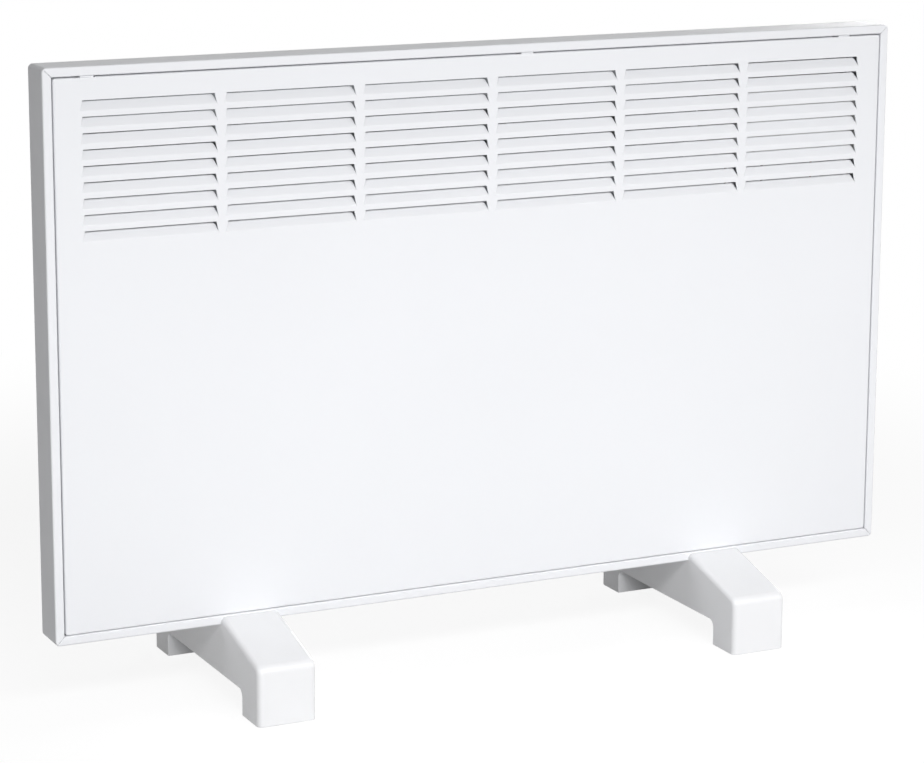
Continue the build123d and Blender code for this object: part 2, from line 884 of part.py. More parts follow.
def make_heat_shield():
    """A plain sheet held off the back wall by its folded top and bottom."""
    half = shield_thickness / 2
    low = shield_low_z
    high = shield_high_z
    face = back_wall_y - shield_standoff
    section = bent_strip(
        [(back_wall_y - half, low - shield_flange), (back_wall_y - half, low), (face, low),
         (face, high), (back_wall_y - half, high), (back_wall_y - half, high + shield_flange)],
        shield_thickness)
    return along_x(section, element_left + shield_side_gap, element_right - shield_side_gap)


def make_air_deflector():
    """A sloping sheet that leads the warm air forward to the louvres."""
    half = deflector_thickness / 2
    low = deflector_low_z
    high = deflector_high_z
    lip_y = frame_back_y + deflector_lip_setback
    section = bent_strip(
        [(back_wall_y - half, deflector_foot_z), (back_wall_y - half, low),
         (lip_y, high - shield_flange), (lip_y, high)], deflector_thickness)
    return along_x(section, deflector_left, element_right)


# ---- controls ----

def control_cutout(x0, x1):
    """The opening in the side wall behind the control plate."""
    half_y = plate_width / 2 - plate_lap_side
    half_z = plate_height / 2 - plate_lap_end
    return block((x0, x1), (control_y - half_y, control_y + half_y),
                 (plate_middle_z - half_z, plate_middle_z + half_z))


def plate_screw_places():
    """The two screws of the control plate, one above and one below its openings."""
    reach = plate_height / 2 - plate_screw_inset
    for level in (-1, 1):
        yield control_y, plate_middle_z + level * reach


def plate_face_x():
    """The outer face of the control plate."""
    return cover_side_x + plate_thickness


def make_control_plate():
    """The moulded plate that carries the dial, the switch and the lamp."""
    face = plate_face_x()
    blank = Pos(control_y, plate_middle_z) * cut_rectangle(plate_width, plate_height, plate_corner)
    plate = along_x(blank, cover_side_x, face)
    plate = chamfer(plate.faces().sort_by(Axis.X)[-1].edges(), plate_edge)
    through = (cover_side_x - cut_over, face + cut_over)
    plate -= rod_x(bush_radius + bush_room, control_y, dial_z, *through)
    half_y = switch_width / 2 + switch_room
    half_z = switch_length / 2 + switch_room
    plate -= block(through, (switch_y - half_y, switch_y + half_y), (switch_z - half_z, switch_z + half_z))
    plate -= rod_x(lamp_radius + switch_room, control_y + lamp_offset, switch_z, *through)
    for y, z in plate_screw_places():
        plate -= rod_x(small_screw_radius + small_screw_room, y, z, *through)
    return plate


def make_control_plate_screws():
    """Screws that hold the control plate to the cover's side wall."""
    screw = Rot(0, -90, 0) * pan_screw(
        small_screw_radius, plate_screw_length, small_head_radius, small_head_height)
    return group(Pos(plate_face_x(), y, z) * screw for y, z in plate_screw_places())


def make_control_housing():
    """The pale tray behind the right-hand louvres; it keeps the wiring from the warm air."""
    x0 = housing_left
    x1 = half_width - back_flange - sheet
    y0 = front_y + housing_setback
    z0 = housing_low_z
    z1 = housing_high_z
    wall = housing_wall
    tray = block((x0, x1), (y0, back_wall_y), (z0, z1))
    tray -= block((x0 + wall, x1 + wall), (y0 + wall, back_wall_y + wall), (z0 + wall, z1 - wall))
    tab_x = ((x0 + x1) / 2 - housing_tab, (x0 + x1) / 2 + housing_tab)
    for low, high in ((z0 - housing_tab, z0 + wall), (z1 - wall, z1 + housing_tab)):
        tray += block(tab_x, (back_wall_y - wall, back_wall_y), (low, high))
    for x, y, radius in housing_entries():
        tray -= rod_z(radius, x, y, z0 - wall, z0 + 2 * wall)
    return tray


def housing_entries():
    """Holes in the tray's floor: two leads and the capillary."""
    yield live_x, lead_y, lead_hole_radius
    yield load_x, lead_y, lead_hole_radius
    yield capillary_x, capillary_y, lead_hole_radius


def thermostat_left_x():
    """The inner end of the thermostat's case."""
    return half_width - back_flange - sheet - thermostat_depth


def make_thermostat_body():
    """The thermostat's case with the threaded bush that its shaft turns in."""
    half = thermostat_size / 2
    z = dial_z
    x1 = half_width - back_flange - sheet
    body = block((x1 - thermostat_depth, x1), (control_y - half, control_y + half), (z - half, z + half))
    body = chamfer(body.edges().filter_by(Axis.X), thermostat_edge)
    body += rod_x(bush_radius, control_y, z, x1, plate_face_x())
    bore_end = plate_face_x() + cut_over
    return body - rod_x(shaft_radius + shaft_room, control_y, z, x1 - shaft_depth, bore_end, true_round)


def make_thermostat_shaft():
    """The shaft, with the flat that drives the knob."""
    z = dial_z
    start = half_width - back_flange - sheet - shaft_depth + shaft_room
    flat_start = plate_face_x() + knob_gap + knob_skirt
    end = flat_start + shaft_flat_length
    shaft = rod_x(shaft_radius, control_y, z, start, end, true_round)
    flat = block((flat_start, end + cut_over), (control_y - 2 * shaft_radius, control_y + 2 * shaft_radius),
                 (z + shaft_flat_height, z + 2 * shaft_radius))
    return shaft - flat


def make_thermostat_knob():
    """A many-sided tapered knob with a raised finger bar and a D-shaped socket."""
    z = dial_z
    x0 = plate_face_x() + knob_gap
    x1 = x0 + knob_height
    base = x0 + knob_base_height
    reach = knob_radius - grip_inset
    blank = Pos(control_y, z) * disc(knob_radius, knob_flats)
    plane = Plane(origin=(x0, 0, 0), x_dir=(0, 1, 0), z_dir=(1, 0, 0))
    skirt = extrude(plane * blank, amount=knob_base_height, taper=knob_taper)
    bar = block((base - cut_over, x1), (control_y - grip_width / 2, control_y + grip_width / 2),
                (z - reach, z + reach))
    bar = chamfer(bar.edges().filter_by(Axis.X), grip_corner)
    bar = chamfer(bar.faces().sort_by(Axis.X)[-1].edges(), grip_edge)
    knob = chamfer(skirt.faces().sort_by(Axis.X)[-1].edges(), knob_edge) + bar
    end = x0 + knob_skirt + shaft_flat_length
    socket = rod_x(shaft_radius + shaft_room, control_y, z, x0 - cut_over, end, true_round)
    flat = block(
        (x0 + knob_skirt, end + cut_over),
        (control_y - 2 * shaft_radius, control_y + 2 * shaft_radius),
        (z + shaft_flat_height + shaft_room, z + 2 * shaft_radius))
    return knob - (socket - flat)


def make_thermostat_bulb():
    """The sensing bulb near the air inlets, and the capillary that leads up to the thermostat."""
    z_top = dial_z - thermostat_size / 2
    z_low = cover_bottom_z + bulb_height
    turn = capillary_x - bulb_run
    tube = bent_rod(
        [(capillary_x, capillary_y, z_top), (capillary_x, capillary_y, z_low), (turn, capillary_y, z_low)],
        capillary_radius)
    return tube + rod_x(bulb_radius, capillary_y, z_low, turn - bulb_length, turn)


def make_power_switch_body():
    """The switch's case: a bezel on the plate, a pocket for the rocker and two blades behind."""
    y, z = switch_y, switch_z
    face = plate_face_x()
    top = face + switch_bezel
    half_y = switch_width / 2
    half_z = switch_length / 2
    back = top - switch_depth
    case = block((back, top), (y - half_y, y + half_y), (z - half_z, z + half_z))
    rim = block((face, top), (y - half_y - switch_bezel_rim, y + half_y + switch_bezel_rim),
                (z - half_z - switch_bezel_rim, z + half_z + switch_bezel_rim))
    rim = chamfer(rim.faces().sort_by(Axis.X)[-1].edges(), switch_bezel_edge)
    case += rim
    room = switch_room
    pocket = block((top - rocker_pocket, top + cut_over),
                   (y - rocker_width / 2 - room, y + rocker_width / 2 + room),
                   (z - rocker_length / 2 - room, z + rocker_length / 2 + room))
    case -= pocket
    for level in (-1, 1):
        blade_z = z + level * switch_blade_offset
        case += block((back - blade_length, back + cut_over), (y - blade_width / 2, y + blade_width / 2),
                      (blade_z - blade_thickness / 2, blade_z + blade_thickness / 2))
    return case


def rocker_axis_x():
    """How far out the rocker's pivot lies."""
    return plate_face_x() + switch_bezel - rocker_axis_depth


def make_power_rocker():
    """The rocker: two shallow ramps that meet in a dip over the pivot, tipped to its off side."""
    y, z = switch_y, switch_z
    half = rocker_length / 2
    belly = rocker_belly_length / 2
    profile = outline(
        (rocker_tip, -half), (rocker_dip, 0), (rocker_tip, half),
        (-rocker_belly, belly), (-rocker_belly, -belly))
    paddle = along_y(profile, -rocker_width / 2, rocker_width / 2)
    paddle = chamfer(paddle.edges().filter_by(Axis.Y).sort_by(Axis.X)[-2:], rocker_edge)
    return Pos(rocker_axis_x(), y, z) * Rot(0, rocker_angle, 0) * paddle


def make_pilot_lamp():
    """A small lens with its collar and the lamp's tube behind."""
    y, z = control_y + lamp_offset, switch_z
    face = plate_face_x()
    lens = rod_x(lamp_radius, y, z, face - lamp_depth, face)
    dome = rod_x(lamp_radius + lamp_collar, y, z, face, face + lamp_rise)
    return lens + chamfer(dome.faces().sort_by(Axis.X)[-1].edges(), lamp_edge)


# ---- electrical pieces ----

def make_thermal_cutout():
    """The overheat limiter on the heat shield, above the element."""
    face = back_wall_y - shield_standoff - shield_thickness / 2
    z = bottom_z + cutout_z
    can = rod_y(cutout_radius, cutout_x, z, face - cutout_height, face)
    can = chamfer(can.faces().sort_by(Axis.Y)[0].edges(), cutout_edge)
    ear = block((cutout_x - cutout_ear_length / 2, cutout_x + cutout_ear_length / 2),
                (face - shield_thickness, face), (z - cutout_ear_height / 2, z + cutout_ear_height / 2))
    front = face - cutout_height
    blades = []
    for level in (-1, 1):
        blade_z = z + level * cutout_blade_offset
        blades.append(block(
            (cutout_x, cutout_x + cutout_radius + blade_length), (front - blade_thickness, front),
            (blade_z - cutout_blade_width / 2, blade_z + cutout_blade_width / 2)))
    return can + ear + blades


def box_on_back_wall(x, z, width, depth, height):
    """A box whose back lies on the rear cover's inner face."""
    return block((x - width / 2, x + width / 2), (back_wall_y - depth, back_wall_y),
                 (z - height / 2, z + height / 2))


def make_terminal_block():
    """The mains terminal block: a moulded bar with three clamping screws."""
    z = bottom_z + block_z
    body = box_on_back_wall(block_x, z, block_length, block_depth, block_height)
    body = chamfer(body.edges().filter_by(Axis.Y), block_edge)
    front = back_wall_y - block_depth
    pitch = block_length / block_ways
    for way in range(block_ways):
        x = block_x + (way - (block_ways - 1) / 2) * pitch
        body -= rod_y(block_screw_radius, x, z, front - cut_over, front + block_screw_depth)
    return body


def make_tip_over_switch():
    """The sealed switch that cuts the current when the heater falls over."""
    z = bottom_z + tilt_z
    return chamfer(box_on_back_wall(tilt_x, z, tilt_width, tilt_depth, tilt_height).edges(), tilt_edge)


def earth_ring_y():
    """The middle of the ring terminal's thickness."""
    return back_wall_y - nut_height - blade_thickness / 2


def make_earth_stud():
    """The earth stud with its nut, and the ring terminal clamped on it."""
    z = bottom_z + earth_z
    stud = rod_y(m5_radius, earth_x, z, back_wall_y - earth_stud_length, back_wall_y)
    nut = Rot(90, 0, 0) * hex_nut(nut_width, nut_height, m5_radius)
    inner_nut = Pos(earth_x, back_wall_y, z) * nut
    ring_y = earth_ring_y()
    ring = rod_y(earth_ring_radius, earth_x, z, ring_y - blade_thickness / 2, ring_y + blade_thickness / 2)
    barrel = rod_z(lead_radius + crimp_wall, earth_x, ring_y, z + nut_width / 2, z + earth_barrel)
    return stud + inner_nut + ring + barrel


def make_cable_gland():
    """The mains inlet in the underside: a collar and a threaded tube."""
    z = cover_bottom_z
    gland = rod_z(gland_collar_radius, gland_x, gland_y, z - gland_collar, z)
    gland = chamfer(gland.faces().sort_by(Axis.Z)[0].edges(), gland_edge)
    gland += rod_z(gland_radius, gland_x, gland_y, z, z + gland_thread)
    return gland - rod_z(
        gland_bore, gland_x, gland_y, z - gland_collar - cut_over, z + gland_thread + cut_over, true_round)


def make_gland_nut():
    """The nut that holds the gland from inside."""
    nut = hex_nut(gland_nut_width, gland_nut_height, gland_radius + m5_thread_room)
    return Pos(gland_x, gland_y, cover_bottom_z + sheet) * nut


# ---- leads ----

def bent_rod(points, radius):
    """A thin rod along straight runs, with each corner cut by a short run across it."""
    line = [Vector(*point) for point in points]
    route = [line[0]]
    for before, corner, after in zip(line, line[1:], line[2:]):
        route.append(corner + (before - corner).normalized() * lead_bend)
        route.append(corner + (after - corner).normalized() * lead_bend)
    route.append(line[-1])
    path = Polyline(*route)
    section = Plane(origin=path @ 0, z_dir=path % 0) * disc(radius, lead_sides)
    return sweep(section, path=path, transition=Transition.RIGHT)


def lead(points):
    """An insulated wire."""
    return bent_rod(points, lead_radius)


def make_wiring_live():
    """From the terminal block up to the switch, and from the switch to the thermostat."""
    y, z = switch_y, switch_z
    blade_end = plate_face_x() + switch_bezel - switch_depth - blade_length
    lower = z - switch_blade_offset
    upper = z + switch_blade_offset
    block_top = bottom_z + block_z + block_height / 2
    supply = lead([
        (live_x, lead_y, block_top), (live_x, lead_y, lower), (live_x, y, lower), (blade_end, y, lower)])
    turn_x = blade_end - lead_loop
    link_z = upper + lead_loop
    link = lead([
        (blade_end, y, upper), (turn_x, y, upper), (turn_x, y, link_z), (thermostat_left_x(), y, link_z)])
    return group([supply, link])


def make_wiring_load():
    """From the housing down to the overheat limiter, and on to the element's right end."""
    z_cut = bottom_z + cutout_z
    front = back_wall_y - shield_standoff - shield_thickness / 2 - cutout_height - blade_thickness / 2
    tip = cutout_x + cutout_radius + blade_length
    upper = z_cut + cutout_blade_offset
    lower = z_cut - cutout_blade_offset
    down = lead([
        (thermostat_left_x(), lead_y, dial_z), (load_x, lead_y, dial_z), (load_x, lead_y, upper + lead_drop),
        (load_x, front, upper), (tip, front, upper)])
    blade_tip = element_right + rod_overhang + pin_length + blade_length
    turn_x = blade_tip + lead_run
    on = lead([
        (tip, front, lower), (turn_x, front, lower), (turn_x, element_y, element_z),
        (blade_tip, element_y, element_z)])
    return group([down, on])


def make_wiring_neutral():
    """From the terminal block along the bottom to the element's left end."""
    low = cover_bottom_z + floor_lead_height
    start = bottom_z + block_z - block_height / 2
    end = element_left - rod_overhang - pin_length - blade_length
    turn_x = end - lead_run
    x = block_x - block_length / block_ways
    return lead([
        (x, lead_y, start), (x, lead_y, low), (turn_x, lead_y, low), (turn_x, element_y, element_z),
        (end, element_y, element_z)])


def make_wiring_earth():
    """From the terminal block's end to the ring terminal on the earth stud."""
    x = block_x - block_length / 2
    z = bottom_z + block_z
    barrel_top = bottom_z + earth_z + earth_barrel
    return lead([(x, earth_ring_y(), z), (earth_x, earth_ring_y(), z), (earth_x, earth_ring_y(), barrel_top)])


pieces = {
    "casing_frame": make_casing_frame,
    "front_panel": make_front_panel,
    "panel_tabs": make_panel_tabs,
    "rear_cover": make_rear_cover,
    "rear_cover_screws": make_rear_cover_screws,
    "heat_shield": make_heat_shield,
    "air_deflector": make_air_deflector,
    "element_body": make_element_body,
    "element_rod": make_element_rod,
    "element_insulators": make_element_insulators,
    "element_terminals": make_element_terminals,
    "element_bracket_left": lambda: make_element_bracket(element_left, -1),
    "element_bracket_right": lambda: make_element_bracket(element_right, 1),
    "element_bracket_screws": make_element_bracket_screws,
    "control_housing": make_control_housing,
    "control_plate": make_control_plate,
    "control_plate_screws": make_control_plate_screws,
    "thermostat_body": make_thermostat_body,
    "thermostat_shaft": make_thermostat_shaft,
    "thermostat_knob": make_thermostat_knob,
    "thermostat_bulb": make_thermostat_bulb,
    "power_switch_body": make_power_switch_body,
    "power_rocker": make_power_rocker,
    "pilot_lamp": make_pilot_lamp,
    "thermal_cutout": make_thermal_cutout,
    "tip_over_switch": make_tip_over_switch,
    "terminal_block": make_terminal_block,
    "earth_stud": make_earth_stud,
    "cable_gland": make_cable_gland,
    "gland_nut": make_gland_nut,
    "wiring_live": make_wiring_live,
    "wiring_load": make_wiring_load,
    "wiring_neutral": make_wiring_neutral,
    "wiring_earth": make_wiring_earth,
    "foot_left": lambda: make_foot(-1),
    "foot_right": lambda: make_foot(1),
    "foot_screws": make_foot_screws,
    "clinch_nuts": make_clinch_nuts,
}

os.makedirs("parts", exist_ok=True)
for name, make in pieces.items():
    export_step(make(), f"parts/{name}.step")
    print("wrote", name)
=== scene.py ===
"""Looks of a wall panel convector heater on two feet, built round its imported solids.

Everything is in metres: +X to the right of a viewer in front, +Y to the back, +Z up, floor at 0.
"""
import json
import logging
import math
from abc import ABC, abstractmethod
from dataclasses import dataclass
from enum import Enum
from typing import Callable, ClassVar, Iterable, Iterator, Optional, Sequence

import bmesh
import bpy
from mathutils import Matrix, Vector


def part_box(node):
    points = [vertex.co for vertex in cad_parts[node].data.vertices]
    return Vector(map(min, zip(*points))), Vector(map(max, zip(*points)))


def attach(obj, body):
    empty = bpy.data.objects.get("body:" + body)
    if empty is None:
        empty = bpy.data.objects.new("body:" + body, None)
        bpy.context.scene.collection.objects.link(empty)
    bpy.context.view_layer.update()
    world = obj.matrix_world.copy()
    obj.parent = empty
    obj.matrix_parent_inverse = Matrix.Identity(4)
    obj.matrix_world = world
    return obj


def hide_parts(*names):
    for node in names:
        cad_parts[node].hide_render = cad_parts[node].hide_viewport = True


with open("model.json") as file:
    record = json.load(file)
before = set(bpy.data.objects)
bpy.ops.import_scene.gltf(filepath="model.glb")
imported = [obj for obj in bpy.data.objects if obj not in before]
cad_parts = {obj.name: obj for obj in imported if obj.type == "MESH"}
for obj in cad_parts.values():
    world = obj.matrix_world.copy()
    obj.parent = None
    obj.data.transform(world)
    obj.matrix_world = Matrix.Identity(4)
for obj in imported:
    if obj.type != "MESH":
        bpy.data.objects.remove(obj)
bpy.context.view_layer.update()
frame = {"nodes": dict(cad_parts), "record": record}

LOG = logging.getLogger("heater")
X, Y, Z = range(3)
HAIR = 1e-6
WELD = 1e-7
QUARTER_TURN = math.pi / 2

Mesh = bmesh.types.BMesh
Vert = bmesh.types.BMVert
Edge = bmesh.types.BMEdge
Face = bmesh.types.BMFace
Piece = bpy.types.Object
Material = bpy.types.Material
NodeTree = bpy.types.NodeTree
Socket = bpy.types.NodeSocket
Colour = tuple[float, float, float]
Pair = tuple[float, float]


class Body(Enum):
    """The bodies that the pieces ride on."""

    HEATER = "heater"
    DIAL = "dial"
    ROCKER = "rocker"


class Way(Enum):
    """The six directions that a face or a row of faces can point in."""

    LEFT = Vector((-1, 0, 0))
    RIGHT = Vector((1, 0, 0))
    FRONT = Vector((0, -1, 0))
    BACK = Vector((0, 1, 0))
    DOWN = Vector((0, 0, -1))
    UP = Vector((0, 0, 1))


SIDE_ON = Matrix((Way.BACK.value, Way.UP.value, Way.RIGHT.value)).transposed().to_4x4()


# ---- finishes ----

class NodeGraph:
    """A material's node tree, with short calls for the nodes that the finishes share."""

    MIDDLE_HALF: ClassVar[Pair] = (0.25, 0.75)

    def __init__(self, name: str) -> None:
        """Starts a material.

        Args:
            name: the material's name.
        """
        self.material = bpy.data.materials.new(name)
        self.material.use_nodes = True
        self.tree = self.material.node_tree
        self.shader = self.tree.nodes["Principled BSDF"]
        self.place = self.tree.nodes.new("ShaderNodeTexCoord").outputs["Object"]

    def link(self, source: Socket, target: Socket) -> None:
        """Joins two sockets."""
        self.tree.links.new(source, target)

    def stretched(self, scale: Vector) -> Socket:
        """Object coordinates with each axis scaled by itself.

        Args:
            scale: how much closer the pattern lies along X, Y and Z.

        Returns:
            The scaled coordinates' socket.
        """
        mapping = self.tree.nodes.new("ShaderNodeMapping")
        mapping.inputs["Scale"].default_value = scale
        self.link(self.place, mapping.inputs["Vector"])
        return mapping.outputs["Vector"]

    def noise(self, size: float, detail: float = 2.0, place: Optional[Socket] = None) -> Socket:
        """Soft random patches.

        Args:
            size: about how wide one patch is, in metres.
            detail: how many finer layers lie on it.
            place: the coordinates to read, if not the plain ones.

        Returns:
            The pattern's socket, from 0 to 1.
        """
        node = self.tree.nodes.new("ShaderNodeTexNoise")
        node.inputs["Scale"].default_value = 1 / size
        node.inputs["Detail"].default_value = detail
        self.link(place or self.place, node.inputs["Vector"])
        return node.outputs["Fac"]

    def cells(self, size: float) -> Socket:
        """Random flat cells, such as zinc crystals.

        Args:
            size: about how wide one cell is, in metres.

        Returns:
            The socket of each cell's random colour.
        """
        node = self.tree.nodes.new("ShaderNodeTexVoronoi")
        node.inputs["Scale"].default_value = 1 / size
        self.link(self.place, node.inputs["Vector"])
        return node.outputs["Color"]

    def between(self, factor: Socket, first: Colour, second: Colour) -> Socket:
        """Blends two colours by a pattern.

        Args:
            factor: the pattern.
            first: the colour at 0.
            second: the colour at 1.

        Returns:
            The blended colour's socket.
        """
        node = self.tree.nodes.new("ShaderNodeMix")
        node.data_type = "RGBA"
        node.inputs["A"].default_value = (*first, 1)
        node.inputs["B"].default_value = (*second, 1)
        self.link(factor, node.inputs["Factor"])
        return node.outputs["Result"]

    def colour(self, source: Socket) -> None:
        """Sends a colour to the shader."""
        self.link(source, self.shader.inputs["Base Color"])

    def tint(self, pattern: Socket, colour: Colour, tones: Pair) -> None:
        """Gives the shader a colour that a pattern makes darker and lighter.

        Args:
            pattern: the pattern, from 0 to 1.
            colour: the plain colour.
            tones: the factors on the colour at 0 and at 1.
        """
        shades = [tuple(min(part * tone, 1.0) for part in colour) for tone in tones]
        self.colour(self.between(pattern, *shades))

    def gloss(self, pattern: Socket, ends: Pair) -> None:
        """Lets the middle half of a pattern move the shader's roughness through a range.

        Args:
            pattern: the pattern, from 0 to 1.
            ends: the roughness at the pattern's lower and upper quarter.
        """
        node = self.tree.nodes.new("ShaderNodeMapRange")
        for socket, value in zip(("From Min", "From Max", "To Min", "To Max"), (*self.MIDDLE_HALF, *ends)):
            node.inputs[socket].default_value = value
        self.link(pattern, node.inputs["Value"])
        self.link(node.outputs["Result"], self.shader.inputs["Roughness"])

    def relief(self, height: Socket, depth: float, strength: float) -> None:
        """Lets a pattern raise and lower the surface, on top of any relief set before.

        Args:
            height: the pattern.
            depth: how deep the relief is, in metres.
            strength: how much of it shows, from 0 to 1.
        """
        node = self.tree.nodes.new("ShaderNodeBump")
        node.inputs["Distance"].default_value = depth
        node.inputs["Strength"].default_value = strength
        self.link(height, node.inputs["Height"])
        normal = self.shader.inputs["Normal"]
        if normal.is_linked:
            self.link(normal.links[0].from_socket, node.inputs["Normal"])
        self.link(node.outputs["Normal"], normal)

    def set(self, socket: str, value: float) -> None:
        """Sets one of the shader's own sockets."""
        self.shader.inputs[socket].default_value = value


@dataclass(frozen=True)
class Finish(ABC):
    """A surface finish, named after the record's slot that it belongs to."""

    slot: str
    colour: Colour

    @abstractmethod
    def paint(self, graph: NodeGraph) -> None:
        """Sets up the finish's nodes.

        Args:
            graph: the material's node tree.
        """

    def material(self) -> Material:
        """The finish's material, made on its first use.

        Returns:
            The material.
        """
        found = bpy.data.materials.get("finish_" + self.slot)
        if found is None:
            graph = NodeGraph("finish_" + self.slot)
            self.paint(graph)
            found = graph.material
        return found


@dataclass(frozen=True)
class PowderCoat(Finish):
    """Baked powder paint: a satin film with a fine, soft orange peel."""

    drift: float = 0.16
    tones: Pair = (0.985, 1.012)
    satin_patch: float = 0.0096
    satin: Pair = (0.36, 0.44)
    shine: float = 0.35
    peel: float = 0.0016
    peel_relief: Pair = (0.00004, 0.35)
    grain: float = 0.00035
    grain_relief: Pair = (0.000012, 0.3)

    def paint(self, graph: NodeGraph) -> None:
        """Sets up a tone that drifts slightly, satin gloss, orange peel and powder grain.

        Args:
            graph: the material's node tree.
        """
        graph.tint(graph.noise(self.drift, detail=3.0), self.colour, self.tones)
        graph.gloss(graph.noise(self.satin_patch, detail=4.0), self.satin)
        graph.relief(graph.noise(self.peel, detail=1.0), *self.peel_relief)
        graph.relief(graph.noise(self.grain), *self.grain_relief)
        graph.set("Specular IOR Level", self.shine)


@dataclass(frozen=True)
class MouldedPlastic(Finish):
    """Injection-moulded plastic: a fine spark-eroded grain and faint flow clouds."""

    cloud: float = 0.05
    tones: Pair = (0.97, 1.02)
    gloss: Pair = (0.38, 0.5)
    grain: float = 0.0005
    grain_relief: Pair = (0.00002, 0.4)

    def paint(self, graph: NodeGraph) -> None:
        """Sets up faint clouds in the tone, and grain in the gloss and the surface.

        Args:
            graph: the material's node tree.
        """
        graph.tint(graph.noise(self.cloud, detail=3.0), self.colour, self.tones)
        grain = graph.noise(self.grain)
        graph.gloss(grain, self.gloss)
        graph.relief(grain, *self.grain_relief)


@dataclass(frozen=True)
class GalvanisedSheet(Finish):
    """Hot-dipped sheet steel with its spangle of zinc crystals."""

    spangle: float = 0.007
    tones: Pair = (0.78, 1.12)
    gloss: Pair = (0.34, 0.56)
    ripple: float = 0.02
    ripple_relief: Pair = (0.0002, 0.15)

    def paint(self, graph: NodeGraph) -> None:
        """Gives each crystal its own tone and gloss, over the faint ripples of rolling.

        Args:
            graph: the material's node tree.
        """
        crystals = graph.cells(self.spangle)
        graph.tint(crystals, self.colour, self.tones)
        graph.gloss(crystals, self.gloss)
        graph.relief(graph.noise(self.ripple, detail=3.0), *self.ripple_relief)
        graph.set("Metallic", 1.0)


@dataclass(frozen=True)
class DrawnMetal(Finish):
    """Metal that was drawn, extruded or turned, with fine lines along one axis."""

    along: Way = Way.RIGHT
    line: float = 0.0006
    stretch: float = 0.97
    tones: Pair = (0.82, 1.08)
    gloss: Pair = (0.24, 0.42)
    line_relief: Pair = (0.00003, 0.3)

    def paint(self, graph: NodeGraph) -> None:
        """Sets up lines in tone, gloss and surface, long along the axis and fine across it.

        Args:
            graph: the material's node tree.
        """
        axis = Vector(abs(part) for part in self.along.value)
        scale = Vector((1, 1, 1)) - self.stretch * axis
        lines = graph.noise(self.line, detail=3.0, place=graph.stretched(scale))
        graph.tint(lines, self.colour, self.tones)
        graph.gloss(lines, self.gloss)
        graph.relief(lines, *self.line_relief)
        graph.set("Metallic", 1.0)


@dataclass(frozen=True)
class FiredClay(Finish):
    """Unglazed insulator ceramic: dry, slightly speckled."""

    speck: float = 0.0011
    tones: Pair = (0.86, 1.05)
    chalk: Pair = (0.7, 0.9)
    speck_relief: Pair = (0.00008, 0.5)

    def paint(self, graph: NodeGraph) -> None:
        """Sets up small specks and a chalky surface.

        Args:
            graph: the material's node tree.
        """
        specks = graph.noise(self.speck, detail=5.0)
        graph.tint(specks, self.colour, self.tones)
        graph.gloss(specks, self.chalk)
        graph.relief(specks, *self.speck_relief)


@dataclass(frozen=True)
class ClearLens(Finish):
    """Tinted clear plastic with its moulded ribs."""

    rib: float = 0.018
    tones: Pair = (0.8, 1.1)
    haze: float = 0.002
    gloss: Pair = (0.08, 0.16)
    rib_relief: Pair = (0.0001, 0.4)
    clearness: float = 0.55
    refraction: float = 1.49

    def paint(self, graph: NodeGraph) -> None:
        """Sets up a clear tinted body whose ribs break the light up.

        Args:
            graph: the material's node tree.
        """
        wave = graph.tree.nodes.new("ShaderNodeTexWave")
        wave.inputs["Scale"].default_value = 1 / self.rib
        wave.bands_direction = "Y"
        graph.link(graph.place, wave.inputs["Vector"])
        graph.tint(wave.outputs["Fac"], self.colour, self.tones)
        graph.gloss(graph.noise(self.haze), self.gloss)
        graph.relief(wave.outputs["Fac"], *self.rib_relief)
        graph.set("Transmission Weight", self.clearness)
        graph.set("IOR", self.refraction)


WHITE_PAINT = PowderCoat("white_powder_coat", (0.868, 0.878, 0.905))
WHITE_PLASTIC = MouldedPlastic("white_plastic", (0.888, 0.893, 0.908), gloss=(0.2, 0.28))
PALE_PLASTIC = MouldedPlastic("pale_plastic", (0.76, 0.76, 0.74), gloss=(0.5, 0.66))
CONTROL_WHITE = MouldedPlastic("control_white", (0.84, 0.845, 0.855), gloss=(0.5, 0.62))
CONTROL_GREY = MouldedPlastic("control_grey", (0.2, 0.21, 0.225), gloss=(0.4, 0.55))
BLACK_PLASTIC = MouldedPlastic("black_plastic", (0.028, 0.028, 0.031), gloss=(0.42, 0.6))
GALVANISED = GalvanisedSheet("galvanised_steel", (0.56, 0.58, 0.6))
ZINC = DrawnMetal("zinc_plated", (0.62, 0.64, 0.68), along=Way.UP, line=0.0003)
ALUMINIUM = DrawnMetal("aluminium", (0.68, 0.69, 0.71))
SHEATH = DrawnMetal("element_sheath", (0.33, 0.3, 0.29), gloss=(0.38, 0.55))
CERAMIC = FiredClay("ceramic", (0.82, 0.79, 0.72))
BRASS = DrawnMetal("brass", (0.72, 0.53, 0.24), line=0.0003, gloss=(0.2, 0.34))
COPPER = DrawnMetal("copper", (0.7, 0.36, 0.22), along=Way.UP, line=0.0004)
AMBER = ClearLens("amber_lens", (0.85, 0.2, 0.03))
BROWN_LEAD = MouldedPlastic("lead_brown", (0.16, 0.07, 0.035), grain=0.0008, gloss=(0.45, 0.6))
BLUE_LEAD = MouldedPlastic("lead_blue", (0.04, 0.12, 0.45), grain=0.0008, gloss=(0.45, 0.6))
GREEN_LEAD = MouldedPlastic("lead_green", (0.17, 0.38, 0.08), grain=0.0008, gloss=(0.45, 0.6))
FINISHES: tuple[Finish, ...] = (
    WHITE_PAINT, WHITE_PLASTIC, PALE_PLASTIC, CONTROL_WHITE, CONTROL_GREY, BLACK_PLASTIC, GALVANISED, ZINC,
    ALUMINIUM, SHEATH, CERAMIC, BRASS, COPPER, AMBER, BROWN_LEAD, BLUE_LEAD, GREEN_LEAD,
)


# ---- modelling helpers ----

